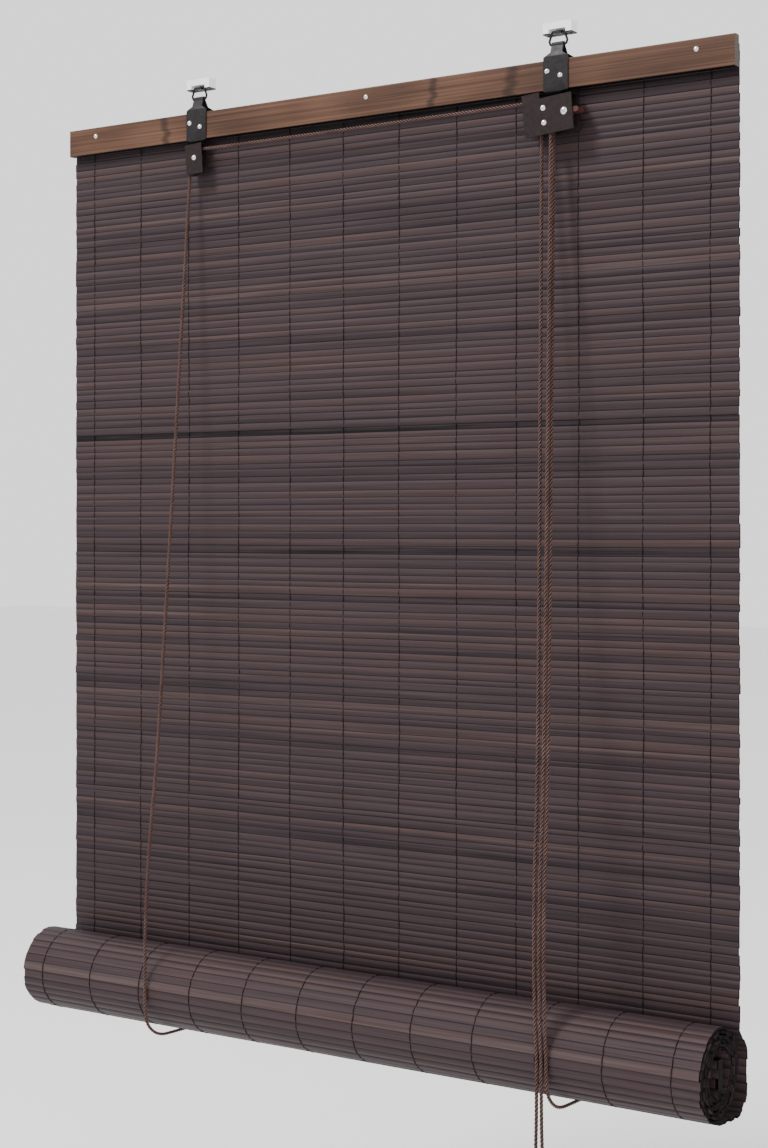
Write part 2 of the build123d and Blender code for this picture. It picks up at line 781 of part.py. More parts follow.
def back_knots():
    """Knot that holds each lift cord's fixed end above its hole in the anchor tab."""
    for side, x in hooks.items():
        with BuildPart() as knot:
            top = rail_top - strap_back_drop + strap_metal / 2 + hole_clearance
            with BuildSketch(Plane(origin=(x + back_hole_x(x), back_hole_y, top), z_dir=(0, 0, 1))):
                Circle(knot_radius * 0.8)
            extrude(amount=knot_radius * 1.5)
            fillet(knot.edges(), knot_radius * 0.5)
        write(knot, f"{side}_back_knot")


def pull_cords():
    """The two pull cords: slanted runs to the roll, straight runs below it, and a hank of
    each with its tie."""
    starts = ((lock_right_x, front_cord_y, bend_z), (lock_left_x, rear_cord_y, bend_z))
    hank_x = (pull_x[0] + hank_offset, pull_x[0] + hank_offset - hank_spacing)
    for number, (start, x, middle) in enumerate(zip(starts, pull_x, hank_x)):
        name = "pull_cord_front" if number == 0 else "pull_cord_rear"
        foot = (x, roll_cord_y, roll_z)
        cord(f"{name}_upper", [on_line(start, foot, static_end - joint_gap), foot], [])
        top = roll_z - pull_end_fall
        cord(f"{name}_lower", [(x, roll_cord_y, roll_z - joint_gap), (x, roll_cord_y, top)], [])
        wide, deep, tall = hank_size
        with BuildPart() as hank:
            with BuildSketch(Plane.XY.offset(top)):
                with Locations((middle, roll_cord_y)):
                    RectangleRounded(wide, deep, 4.0)
            extrude(amount=-tall)
            with BuildSketch(Plane.XY.offset(top - tall / 2 + tie_height / 2)):
                with Locations((middle, roll_cord_y)):
                    RectangleRounded(wide + 2, deep + 2, 4.0)
                    RectangleRounded(wide - 2, deep - 2, 3.0, mode=Mode.SUBTRACT)
            extrude(amount=-tie_height, mode=Mode.SUBTRACT)
        write(hank, f"{name}_hank")
        with BuildPart() as tie:
            with BuildSketch(Plane.XY.offset(top - tall / 2 + tie_height / 2 - 0.3)):
                with Locations((middle, roll_cord_y)):
                    RectangleRounded(wide - 1.6 + tie_wall, deep - 1.6 + tie_wall, 4.0)
                    RectangleRounded(wide - 1.6, deep - 1.6, 3.0, mode=Mode.SUBTRACT)
            extrude(amount=0.6 - tie_height)
        write(tie, f"{name}_tie")


# ---------------------------------------------------------------- build
for side, x in hooks.items():
    hook_block(f"{side}_hook_block", x)
    hook_plate(f"{side}_hook_plate", x)
    bail(f"{side}_bail", x)
    strap_rivet_pair(f"{side}_strap_rivets", x)
strap("left_strap", -hook_x, -7.0, 9.0, left_axle_x, left_axle_drop)
strap("right_strap", hook_x, -11.6, 6.0, lock_axle_x, lock_axle_drop)
head_rail()
rail_nails()
slat_bars("rail_slats", rail_bottom + slats_behind_rail * slat_pitch, slats_behind_rail)
slat_bars("hanging_slats", rail_bottom, hanging_slat_count)
warp_threads()
lead_in_sheet()
bottom_lath(roll_turns())
left_housing()
right_housing()
wheel("left_wheel", left_groove_x + left_wheel_radius, left_axle_z, rear_cord_y, left_wheel_radius,
      plate_back_front - wheel_side_gap, left_front_rear + wheel_side_gap)
wheel("lock_wheel_rear", hook_x + lock_axle_x, lock_axle_z, rear_cord_y, lock_wheel_radius,
      rear_cord_y + wheel_width / 2, rear_cord_y - wheel_width / 2)
wheel("lock_wheel_front", hook_x + lock_axle_x, lock_axle_z, front_cord_y, lock_wheel_radius,
      front_cord_y + wheel_width / 2, front_cord_y - wheel_width / 2)
lock_cam()
guide_spacer()
dome_rivet("left_axle_rivet", -hook_x + left_axle_x, left_axle_z, left_front_front, tail_rear,
           axle_radius, axle_head_radius, axle_head_height)
dome_rivet("lock_axle_rivet", hook_x + lock_axle_x, lock_axle_z, lock_front_front, tail_rear,
           axle_radius, axle_head_radius, axle_head_height)
dome_rivet("cam_rivet", hook_x + cam_axle_x, cam_axle_z, lock_front_front, plate_back_rear,
           axle_radius, cam_head_radius, axle_head_height)
dome_rivet("guide_rivet", hook_x + guide_x, guide_z, lock_front_front, plate_back_rear,
           axle_radius, axle_head_radius, axle_head_height)
cross_cord()
lock_cord()
lift_cords()
slings()
back_knots()
pull_cords()
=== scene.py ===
import json
import math

import bmesh
import bpy
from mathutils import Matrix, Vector


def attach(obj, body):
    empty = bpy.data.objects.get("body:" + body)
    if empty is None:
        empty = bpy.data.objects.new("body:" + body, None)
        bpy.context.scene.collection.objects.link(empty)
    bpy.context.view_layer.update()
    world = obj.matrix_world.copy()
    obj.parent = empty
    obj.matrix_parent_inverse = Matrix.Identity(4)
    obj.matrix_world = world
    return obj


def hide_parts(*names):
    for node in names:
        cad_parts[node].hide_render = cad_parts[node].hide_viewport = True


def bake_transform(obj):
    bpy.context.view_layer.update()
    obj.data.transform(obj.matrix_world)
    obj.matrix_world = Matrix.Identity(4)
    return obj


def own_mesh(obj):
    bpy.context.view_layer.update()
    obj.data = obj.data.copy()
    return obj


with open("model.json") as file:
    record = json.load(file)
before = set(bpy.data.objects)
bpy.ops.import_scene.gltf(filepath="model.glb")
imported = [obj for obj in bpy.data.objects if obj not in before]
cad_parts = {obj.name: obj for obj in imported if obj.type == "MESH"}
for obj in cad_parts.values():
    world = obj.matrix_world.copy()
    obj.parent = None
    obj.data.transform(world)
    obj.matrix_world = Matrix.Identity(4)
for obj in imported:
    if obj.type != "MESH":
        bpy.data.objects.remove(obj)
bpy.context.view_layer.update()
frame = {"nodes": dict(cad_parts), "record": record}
scene = bpy.context.scene
print("frame loaded:", len(frame["nodes"]), "nodes")


# camera
viewing = {"place": (1.136, -1.662, -0.4776), "turn": 33.9, "lens": 62.7, "rise": -0.041}

lens = bpy.data.cameras.new("viewingCamera")
lens.lens = viewing["lens"]
lens.sensor_width = 36
lens.shift_y = viewing["rise"]
cameraObject = bpy.data.objects.new("viewingCamera", lens)
scene.collection.objects.link(cameraObject)
cameraObject.location = viewing["place"]
cameraObject.rotation_euler = (math.radians(90), 0, math.radians(viewing["turn"]))
scene.camera = cameraObject


# node helpers, for shaders and geometry alike
def put(tree, kind, inputs=None, **settings):
    node = tree.nodes.new(kind)
    for key, value in settings.items():
        setattr(node, key, value)
    for key, value in (inputs or {}).items():
        if isinstance(value, bpy.types.NodeSocket):
            tree.links.new(value, node.inputs[key])
        else:
            node.inputs[key].default_value = value
    return node


def calc(tree, operation, *values):
    return put(tree, "ShaderNodeMath", dict(enumerate(values)), operation=operation).outputs[0]


def vector(tree, operation, *values):
    return put(tree, "ShaderNodeVectorMath", dict(enumerate(values)), operation=operation).outputs[0]


def scaled(tree, value, amount):
    return put(tree, "ShaderNodeVectorMath", {0: value, "Scale": amount}, operation="SCALE").outputs[0]


def normalPart(tree, axis):
    # how far a surface faces along one axis: 0 for X, 2 for Z
    normal = put(tree, "ShaderNodeNewGeometry").outputs["Normal"]
    return put(tree, "ShaderNodeSeparateXYZ", {0: normal}).outputs[axis]


def colour(red, green, blue):
    # screen values from 0 to 255, made linear
    parts = [value / 255 for value in (red, green, blue)]
    return (*[p / 12.92 if p <= 0.04045 else ((p + 0.055) / 1.055) ** 2.4 for p in parts], 1.0)


def mixed(tree, share, first, second):
    return put(tree, "ShaderNodeMix", {0: share, 6: first, 7: second}, data_type="RGBA").outputs[2]


def ramp(tree, value, stops):
    node = put(tree, "ShaderNodeValToRGB", {0: value})
    elements = node.color_ramp.elements
    while len(elements) < len(stops):
        elements.new(0.5)
    for element, (place, shade) in zip(elements, stops):
        element.position = place
        element.color = shade
    return node.outputs[0]


def spread(tree, value, low, high, fromLow=0.3, fromHigh=0.7):
    node = put(tree, "ShaderNodeMapRange", {0: value, 1: fromLow, 2: fromHigh, 3: low, 4: high})
    return node.outputs[0]


def blankMaterial(name):
    material = bpy.data.materials.new(name)
    material.use_nodes = True
    tree = material.node_tree
    shader = tree.nodes["Principled BSDF"]
    place = put(tree, "ShaderNodeTexCoord").outputs["Object"]
    return material, tree, shader, place


def noise(tree, place, scale, detail=3.0, roughness=0.6):
    # scale is a number, or one number for each axis in features a metre
    if isinstance(scale, tuple):
        place = put(tree, "ShaderNodeMapping", {0: place, 3: scale}).outputs[0]
        scale = 1.0
    inputs = {"Vector": place, "Scale": scale, "Detail": detail, "Roughness": roughness}
    return put(tree, "ShaderNodeTexNoise", inputs).outputs[0]


def bump(tree, shader, height, strength, distance):
    node = put(tree, "ShaderNodeBump", {"Height": height, "Strength": strength, "Distance": distance})
    tree.links.new(node.outputs[0], shader.inputs["Normal"])


# finishes
# slat colours: the stain's tones run from "gap" to "pale"; "end" is for the slat ends, and "groove" is
# painted shade between the slats; the top slat, painted as the rail's shadow, falls near "gap"
slatStainAndShade = {
    "gap": colour(13, 8, 10), "deep": colour(37, 28, 31), "middle": colour(51, 40, 43),
    "red": colour(57, 43, 42), "pale": colour(69, 58, 58), "end": colour(8, 6, 7), "groove": colour(7, 4, 5),
}


def slatFinish(name, lift=1.0, grooveShade=0.8):
    # split bamboo: fibres run along X, and each slat has its own tone, with painted light on its top and
    # painted shade in the grooves between slats
    material, tree, shader, place = blankMaterial(name)
    tone = put(tree, "ShaderNodeAttribute", attribute_name="tone").outputs["Fac"]
    across = put(tree, "ShaderNodeAttribute", attribute_name="across").outputs["Fac"]
    fibre = noise(tree, place, (9, 1500, 1500), 4.0, 0.65)
    streak = noise(tree, place, (4, 320, 320), 3.0, 0.6)
    patch = noise(tree, place, (14, 45, 45), 2.0, 0.5)
    shaded = calc(tree, "ADD", tone, spread(tree, streak, -0.22, 0.22))
    base = ramp(tree, shaded, [
        (0.0, slatStainAndShade["gap"]), (0.15, slatStainAndShade["deep"]), (0.5, slatStainAndShade["middle"]),
        (0.74, slatStainAndShade["red"]), (1.0, slatStainAndShade["pale"]),
    ])
    base = mixed(tree, spread(tree, patch, 0.0, 0.22, 0.55, 0.75), base, colour(54, 35, 30))
    strength = spread(tree, fibre, 0.7 * lift, 1.3 * lift)
    # each slat is painted lighter towards its top and darker towards its bottom: painted light from above
    strength = calc(tree, "MULTIPLY", strength, spread(tree, across, 0.72, 1.2, -0.8, 0.75))
    grainAndPaintedShading = scaled(tree, base, strength)
    # the top and bottom edges of each slat are painted near black: painted shade in the grooves between slats
    groove = spread(tree, calc(tree, "ABSOLUTE", across), 0.0, grooveShade, 0.74, 0.97)
    grainAndPaintedShading = mixed(tree, groove, grainAndPaintedShading, slatStainAndShade["groove"])
    ending = spread(tree, calc(tree, "ABSOLUTE", normalPart(tree, 0)), 0.0, 1.0, 0.6, 0.8)
    tree.links.new(mixed(tree, ending, grainAndPaintedShading, slatStainAndShade["end"]), shader.inputs["Base Color"])
    tree.links.new(spread(tree, fibre, 0.48, 0.7), shader.inputs["Roughness"])
    tree.links.new(spread(tree, ending, 0.14, 0.02, 0.0, 1.0), shader.inputs["Specular IOR Level"])
    bump(tree, shader, fibre, 0.35, 0.0003)
    return material


def railFinish(name, joints, dark, shine=0.16):
    # a planed bamboo lath: long grain, with a darker ring at each joint of the cane, and painted shade on the
    # faces turned down
    material, tree, shader, place = blankMaterial(name)
    grain = noise(tree, place, (3, 420, 420), 5.0, 0.6)
    fine = noise(tree, place, (16, 2200, 2200), 3.0, 0.6)
    cloud = noise(tree, place, (7, 22, 22), 2.0, 0.5)
    parts = put(tree, "ShaderNodeSeparateXYZ", {0: place})
    along = parts.outputs[0]
    wobble = spread(tree, noise(tree, place, (1, 90, 90)), -0.004, 0.004)
    ring = None
    for joint, width in joints:
        away = calc(tree, "ABSOLUTE", calc(tree, "SUBTRACT", calc(tree, "ADD", along, wobble), joint))
        one = spread(tree, away, 1.0, 0.0, width * 0.3, width)
        ring = one if ring is None else calc(tree, "MAXIMUM", ring, one)
    shade = calc(tree, "ADD", calc(tree, "MULTIPLY", grain, 0.42), calc(tree, "MULTIPLY", cloud, 0.33))
    shade = calc(tree, "ADD", shade, calc(tree, "MULTIPLY", fine, 0.25))
    base = ramp(tree, shade, [
        (0.32, colour(40 * dark, 26 * dark, 19 * dark)), (0.45, colour(64 * dark, 43 * dark, 32 * dark)),
        (0.55, colour(88 * dark, 61 * dark, 47 * dark)), (0.68, colour(112 * dark, 80 * dark, 63 * dark)),
    ])
    base = mixed(tree, calc(tree, "MULTIPLY", ring, 0.6), base, colour(20, 12, 9))
    base = mixed(tree, spread(tree, fine, 0.0, 0.25), base, colour(30, 19, 14))
    shader.inputs["Specular IOR Level"].default_value = shine
    ending = spread(tree, calc(tree, "ABSOLUTE", normalPart(tree, 0)), 0.0, 1.0, 0.6, 0.8)
    pores = noise(tree, place, (30, 900, 900), 2.0, 0.5)
    cut = ramp(tree, pores, [
        (0.35, colour(46 * dark, 38 * dark, 35 * dark)), (0.62, colour(84 * dark, 72 * dark, 66 * dark)),
    ])
    # faces turned down are painted near black: painted shade under the rail and the lath
    under = spread(tree, normalPart(tree, 2), 0.0, 1.0, -0.35, -0.8)
    woodAndPaintedUnderShade = mixed(tree, under, mixed(tree, ending, base, cut), colour(8, 5, 4))
    tree.links.new(woodAndPaintedUnderShade, shader.inputs["Base Color"])
    tree.links.new(spread(tree, grain, 0.4, 0.58), shader.inputs["Roughness"])
    bump(tree, shader, calc(tree, "ADD", grain, calc(tree, "MULTIPLY", ring, -0.4)), 0.25, 0.0004)
    return material


def metalFinish(name, dark, worn, roughness, metallic, shine=0.5):
    material, tree, shader, place = blankMaterial(name)
    cloud = noise(tree, place, 260.0, 3.0, 0.6)
    speck = noise(tree, place, 1820.0, 2.0, 0.5)
    base = mixed(tree, spread(tree, cloud, 0.0, 1.0, 0.35, 0.7), dark, worn)
    tree.links.new(base, shader.inputs["Base Color"])
    shader.inputs["Metallic"].default_value = metallic
    shader.inputs["Specular IOR Level"].default_value = shine
    tree.links.new(spread(tree, cloud, roughness * 0.85, roughness * 1.2), shader.inputs["Roughness"])
    bump(tree, shader, speck, 0.12, 0.00008)
    return material


def plasticFinish(name, low, high, roughness, shine=0.5):
    material, tree, shader, place = blankMaterial(name)
    cloud = noise(tree, place, 140.0, 3.0, 0.5)
    pebble = noise(tree, place, 2600.0, 1.0, 0.5)
    shader.inputs["Specular IOR Level"].default_value = shine
    tree.links.new(mixed(tree, spread(tree, cloud, 0.0, 1.0), low, high), shader.inputs["Base Color"])
    tree.links.new(spread(tree, pebble, roughness * 0.9, roughness * 1.1), shader.inputs["Roughness"])
    bump(tree, shader, pebble, 0.06, 0.0001)
    return material


def yarnFinish(name, dark, light, fibres, woven=True):
    # fibres follow the strand: "weave" holds the way along it, round it and outwards
    material, tree, shader, place = blankMaterial(name)
    weave = put(tree, "ShaderNodeAttribute", attribute_name="weave").outputs["Vector"] if woven else place
    lint = noise(tree, weave, fibres, 3.0, 0.7)
    patch = noise(tree, place, 60.0, 2.0, 0.5)
    shade = calc(tree, "ADD", calc(tree, "MULTIPLY", lint, 0.8), calc(tree, "MULTIPLY", patch, 0.2))
    # the light flecks along the fibres are the cord's own mottling and also painted highlights on its twist
    shade = ramp(tree, shade, [(0.32, dark), (0.66, light)])
    if woven:
        # the inner side of each strand is painted dark: painted shade where the strands press together
        outward = put(tree, "ShaderNodeSeparateXYZ", {0: weave}).outputs[2]
        shade = mixed(tree, spread(tree, outward, 0.85, 0.0, -0.1, 0.75), shade, colour(14, 8, 8))
    tree.links.new(shade, shader.inputs["Base Color"])
    tree.links.new(spread(tree, lint, 0.62, 0.85), shader.inputs["Roughness"])
    shader.inputs["Specular IOR Level"].default_value = 0.12
    bump(tree, shader, lint, 0.4, 0.0003)
    return material


finishes = {
    "dark_bamboo": slatFinish("stainedSlats"),
    "rolledBamboo": slatFinish("stainedSlatBacks", 1.16, 0.7),
    "rail_bamboo": railFinish("stainedRail", ((0.079, 0.006), (0.168, 0.009), (-0.262, 0.007)), 1.0),
    # the bottom lath takes the rail's grain at 0.15 of its brightness, near black
    "lath": railFinish("nearBlackLath", ((-0.1, 0.006), (0.25, 0.006)), 0.15, 0.02),
    "black_steel": metalFinish("blackLacquer", colour(17, 14, 15), colour(29, 25, 26), 0.48, 0.0, 0.2),
    "lockSteel": metalFinish("brownBlackLacquer", colour(26, 19, 19), colour(36, 28, 27), 0.5, 0.0, 0.12),
    "bright_steel": metalFinish("platedSteel", colour(188, 186, 184), colour(222, 220, 217), 0.2, 1.0),
    "white_plastic": plasticFinish("whiteMoulding", colour(222, 220, 226), colour(234, 232, 238), 0.42),
    "wheel_plastic": plasticFinish("blackNylon", colour(16, 14, 15), colour(26, 24, 25), 0.45, 0.2),
    "cam_plastic": plasticFinish("redBrownNylon", colour(58, 32, 29), colour(76, 44, 40), 0.42, 0.2),
    "cord": yarnFinish("twistedCord", colour(33, 22, 21), colour(118, 90, 83), (900, 26, 1)),
    "thread": yarnFinish("warpThread", colour(8, 4, 7), colour(17, 9, 14), (900, 900, 900), woven=False),
}
print("finishes made:", len(finishes))


# pieces
def place(name, mesh, finish, slotName, body=None, nodes=()):
    # a plain mesh at the origin becomes a piece, and stands for its CAD nodes
    piece = bpy.data.objects.new(name, mesh)
    scene.collection.objects.link(piece)
    mesh.materials.clear()
    mesh.materials.append(finishes[finish])
    if body:
        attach(piece, body)
    if nodes:
        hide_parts(*nodes)
    return piece


# cords
# offset and radius are a strand's, as shares of the cord's width
cordSizes = {"width": 0.0036, "lay": 0.0115, "strands": 3, "sides": 6, "step": 0.0011, "offset": 0.25,
             "radius": 0.265}
cordY, rollZ, dropZ, bendZ = -0.0802, -0.9605, -0.114, -0.094
leftX, rightX, frontPullX, rearPullX = -0.2255, 0.2495, 0.2445, 0.2397
lockRightX, lockLeftX, rearY, frontY = 0.2165, 0.2035, -0.006, -0.0119


def onLine(start, end, z):
    share = (z - start[2]) / (end[2] - start[2])
    return tuple(a + (b - a) * share for a, b in zip(start, end))


def smoothLine(points):
    curve = bpy.data.curves.new("route", "CURVE")
    curve.dimensions = "3D"
    curve.resolution_u = 20
    spline = curve.splines.new("NURBS")
    spline.points.add(len(points) - 1)
    for point, spot in zip(spline.points, points):
        point.co = (*spot, 1.0)
    spline.order_u = 3
    spline.use_endpoint_u = True
    holder = bpy.data.objects.new("route", curve)
    scene.collection.objects.link(holder)
    mesh = bpy.data.meshes.new_from_object(holder)
    line = [vertex.co.copy() for vertex in mesh.vertices]
    bpy.data.objects.remove(holder)
    bpy.data.curves.remove(curve)
    bpy.data.meshes.remove(mesh)
    return line


def lengthOf(line):
    return sum((b - a).length for a, b in zip(line, line[1:]))


def evenSteps(line, step):
    # the same line, walked at even steps
    total = lengthOf(line)
    count = max(4, round(total / step))
    walked, travelled, part = [line[0].copy()], 0.0, 0
    for number in range(1, count + 1):
        goal = total * number / count
        while part < len(line) - 2 and travelled + (line[part + 1] - line[part]).length < goal:
            travelled += (line[part + 1] - line[part]).length
            part += 1
        span = (line[part + 1] - line[part]).length
        walked.append(line[part].lerp(line[part + 1], min(1.0, (goal - travelled) / max(span, 1e-9))))
    return walked


def twistedMesh(name, line, width, lay, strands, sides, step):
    # strands wound round a line, each a closed tube
    walked = evenSteps(line, step)
    tangents = [
        (walked[min(k + 1, len(walked) - 1)] - walked[max(k - 1, 0)]).normalized() for k in range(len(walked))
    ]
    side = tangents[0].orthogonal().normalized()
    frames, travelled = [], 0.0
    for k, (spot, tangent) in enumerate(zip(walked, tangents)):
        side = (side - tangent * side.dot(tangent)).normalized()
        if k:
            travelled += (spot - walked[k - 1]).length
        frames.append((spot, side.copy(), tangent.cross(side), travelled))
    shape, weaves = bmesh.new(), []
    offset = width * (cordSizes["offset"] if strands > 1 else 0)
    radius = width * (cordSizes["radius"] if strands > 1 else 0.5)
    for strand in range(strands):
        rings = []
        for spot, across, up, travelled in frames:
            turn = 2 * math.pi * (travelled / lay + strand / strands)
            centre = spot + (across * math.cos(turn) + up * math.sin(turn)) * offset
            ring = []
            for number in range(sides):
                around = 2 * math.pi * number / sides
                reach = across * math.cos(turn + around) + up * math.sin(turn + around)
                ring.append(shape.verts.new(centre + reach * radius))
                outward = math.cos(around) if strands > 1 else 1.0
                weaves.append((travelled, strand + number / sides, outward))
            rings.append(ring)
        for first, second in zip(rings, rings[1:]):
            for number in range(sides):
                after = (number + 1) % sides
                shape.faces.new((first[number], first[after], second[after], second[number]))
        shape.faces.new(rings[0][::-1])
        shape.faces.new(rings[-1])
    mesh = bpy.data.meshes.new(name)
    shape.to_mesh(mesh)
    shape.free()
    attribute = mesh.attributes.new("weave", "FLOAT_VECTOR", "POINT")
    attribute.data.foreach_set("vector", [number for weave in weaves for number in weave])
    mesh.shade_smooth()
    return mesh


def cordPiece(name, points, body, nodes, squashed=False, blended=None):
    line = smoothLine(points)
    mesh = twistedMesh(name, line, *[cordSizes[key] for key in ("width", "lay", "strands", "sides", "step")])
    if blended:
        piece = place(name, mesh, "cord", "cord", None, nodes)
        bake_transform(piece)
    else:
        piece = place(name, mesh, "cord", "cord", body, nodes)
    if squashed:
        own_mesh(piece)
    return piece


sixWide = cordSizes["width"] * 6


# how far a run stands off its straight line near its foot: (height above the foot, stand-off)
frontBow = ((0.26, 0.0), (0.18, -0.0052), (0.105, -0.0066), (0.04, -0.004))
backBow = ((0.26, 0.0), (0.18, 0.0018), (0.105, 0.0024), (0.04, 0.0012))


def straightRun(start, end, bow):
    # a taut run that swells a little as it passes the roll, so that it clears the roll when raised
    reach = sixWide / (Vector(end) - Vector(start)).length
    points = [start, tuple(a + (b - a) * reach for a, b in zip(start, end))]
    for height, away in bow:
        x, y, z = onLine(start, end, end[2] + height)
        points.append((x, y + away, z))
    return points + [end]


# the back runs go from a hole in each strap's tab down to the slings
backRun = {"holeX": 0.2255, "holeY": 0.01415, "holeZ": -0.0564, "footY": 0.0258, "footZ": -0.9626}
wheelTop = -0.0765
leftTop = (leftX, rearY, -0.093)
crossBend, crossFoot = (lockRightX, frontY, bendZ), (frontPullX, cordY, rollZ)
lockBend, lockFoot = (lockRightX, rearY, bendZ), (rightX, cordY, rollZ)
rearBend, rearFoot = (lockLeftX, rearY, bendZ), (rearPullX, cordY, rollZ)
crossDrop = onLine(crossBend, crossFoot, dropZ)
lockDrop = onLine(lockBend, lockFoot, dropZ)
rearDrop = onLine(rearBend, rearFoot, dropZ)
leftHole, leftBack = ((leftX, backRun[f"{end}Y"], backRun[f"{end}Z"]) for end in ("hole", "foot"))
rightHole, rightBack = (backRun["holeX"], *leftHole[1:]), (rightX, *leftBack[1:])
for name, top, foot, bow, node in (
    ("leftLiftCord", leftTop, (leftX, cordY, rollZ), frontBow, "left_lift_front"),
    ("rightLiftCord", lockDrop, lockFoot, frontBow, "right_lift_front"),
    ("leftBackCord", leftHole, leftBack, backBow, "left_lift_back"),
    ("rightBackCord", rightHole, rightBack, backBow, "right_lift_back"),
    ("frontPullCord", crossDrop, crossFoot, frontBow, "pull_cord_front_upper"),
    ("rearPullCord", rearDrop, rearFoot, frontBow, "pull_cord_rear_upper"),
):
    cordPiece(name, straightRun(top, foot, bow), "rail_group", [node], squashed=True)
# over the left wheel, across to the lock's front wheel and down
cordPiece("crossCord", [
    leftTop, (-0.2272, rearY, -0.0746), (-0.2039, rearY, wheelTop), (0.1949, frontY, wheelTop),
    (0.218, frontY, -0.075), crossBend, crossDrop,
], "rail_group", ["cross_cord"])
cordPiece("lockCord", [
    lockDrop, lockBend, (lockRightX, rearY, wheelTop), (lockLeftX, rearY, wheelTop), rearBend, rearDrop,
], "rail_group", ["lock_cord"])
slingRoute = (
    (cordY, rollZ), (cordY, -0.979), (-0.0765, -0.996), (-0.058, -1.0095), (-0.03, -1.0105),
    (0.004, -1.0112), (0.025, -1.0085), (0.0262, -0.99), (backRun["footY"], backRun["footZ"]),
)
for side, x in (("left", leftX), ("right", rightX)):
    cordPiece(f"{side}Sling", [(x, y, z) for y, z in slingRoute], "loose_turn", [f"{side}_sling"])
print("cords made")


# hanks, ties and knots
hank = {"turns": 5, "fold": 0.0118, "waist": 0.45, "halfRun": 0.0288, "pitch": 0.0038, "aside": 0.0022,
        "middleY": -0.0722, "middleZ": -1.108, "corner": 0.414}


def hankPoints(x, outward):
    # down from the roll, then turns of a flattened coil that stand side by side, drawn in at the tie
    aside = outward * hank["aside"]
    points = [(x, cordY, rollZ), (x, cordY, -1.01), (x + aside / 2, cordY, -1.045)]
    corner, waist = hank["corner"], hank["waist"]
    # one turn, as (across, up from the fold's middle, which end)
    turn = [(-waist, 0, 0), (-1, corner, -1), (-1, -corner, -1), (-corner, -1, -1), (corner, -1, -1),
            (1, -corner, -1), (1, corner, -1), (waist, 0, 0), (1, -corner, 1), (1, corner, 1),
            (corner, 1, 1), (-corner, 1, 1), (-1, corner, 1), (-1, -corner, 1)]
    for number in range(hank["turns"] * len(turn) + 2):
        across, up, end = turn[number % len(turn)]
        points.append((
            x + aside + outward * (hank["pitch"] * number / len(turn)),
            hank["middleY"] + hank["fold"] * across,
            hank["middleZ"] + hank["halfRun"] * end + hank["fold"] * up,
        ))
    return points


knot = {"lay": 0.0115, "sides": 8, "step": 0.0007, "points": 72, "depth": 0.45, "tailSize": 0.0042,
        "tailCord": 0.0034, "anchorSize": 0.0034, "anchorCord": 0.0032, "anchorZ": -0.0518}
tie = {"halfWidth": 0.0125, "halfDepth": 0.0083, "turns": 5, "thread": 0.0022, "pitch": 1.02, "steps": 16,
       "square": 0.7, "lay": 0.008, "sides": 7, "step": 0.0012}


def knotMesh(name, centre, size, width):
    # a clenched overhand knot: a tube along a trefoil
    line = []
    for number in range(knot["points"] + 1):
        t = 2 * math.pi * number / knot["points"]
        across = (math.sin(t) + 2 * math.sin(2 * t)) / 3
        up = (math.cos(t) - 2 * math.cos(2 * t)) / 3
        line.append(Vector((across, up, -math.sin(3 * t) * knot["depth"])) * size + Vector(centre))
    return twistedMesh(name, line, width, knot["lay"], 1, knot["sides"], knot["step"])


def tieMesh(name, x):
    # a thread wound round the waist of a hank
    line, steps, thread = [], tie["steps"], tie["thread"]
    for number in range(tie["turns"] * steps + 1):
        angle = 2 * math.pi * number / steps + math.pi / steps
        corner = 1 / max(abs(math.cos(angle)), abs(math.sin(angle)))
        reach = 1 - tie["square"] + tie["square"] * corner
        line.append(Vector((
            x + tie["halfWidth"] * reach * math.cos(angle),
            hank["middleY"] + tie["halfDepth"] * reach * math.sin(angle),
            hank["middleZ"] + thread * (number / steps - tie["turns"] / 2) * tie["pitch"],
        )))
    return twistedMesh(name, line, thread, tie["lay"], 1, tie["sides"], tie["step"])


for label, x, outward in (("front", frontPullX, 1), ("rear", rearPullX, -1)):
    middle = x + outward * (hank["aside"] + hank["pitch"] * hank["turns"] / 2)
    node, tieName, knotName = f"pull_cord_{label}", f"{label}HankTie", f"{label}TailKnot"
    band = place(tieName, tieMesh(tieName, middle), "thread", "cord", "pull_ends", [f"{node}_tie"])
    points = hankPoints(x, outward)
    stop = place(knotName, knotMesh(knotName, points[-1], knot["tailSize"], knot["tailCord"]), "cord", "cord",
                 "pull_ends")
    cordPiece(f"{label}PullTail", points, None, [f"{node}_lower", f"{node}_hank"],
              blended=("loose_turn", "pull_ends", (x, cordY, rollZ), (x, cordY, -1.05)))
for side, x in (("left", leftX), ("right", backRun["holeX"])):
    name, spot = f"{side}AnchorKnot", (x, backRun["holeY"], knot["anchorZ"])
    place(name, knotMesh(name, spot, knot["anchorSize"], knot["anchorCord"]), "cord", "cord", "rail_group",
          [f"{side}_back_knot"])
print("hanks, ties and knots made")


# woven sheet: one tree lays slats along a line, the other runs the threads over them
def newTree(name, inputs):
    tree = bpy.data.node_groups.new(name, "GeometryNodeTree")
    tree.interface.new_socket("Geometry", in_out="INPUT", socket_type="NodeSocketGeometry")
    for label, kind, value in inputs:
        socket = tree.interface.new_socket(label, in_out="INPUT", socket_type=f"NodeSocket{kind}")
        if value is not None:
            socket.default_value = value
    tree.interface.new_socket("Geometry", in_out="OUTPUT", socket_type="NodeSocketGeometry")
    return tree, tree.nodes.new("NodeGroupInput").outputs


def closeTree(tree, geometry, material):
    geometry = put(tree, "GeometryNodeSetMaterial", {"Geometry": geometry, "Material": material}).outputs[0]
    put(tree, "NodeGroupOutput", {0: geometry})


def randomFrom(tree, low, high, number, seed):
    inputs = {2: low, 3: high, 7: number, 8: seed}
    return put(tree, "FunctionNodeRandomValue", inputs, data_type="FLOAT").outputs[1]


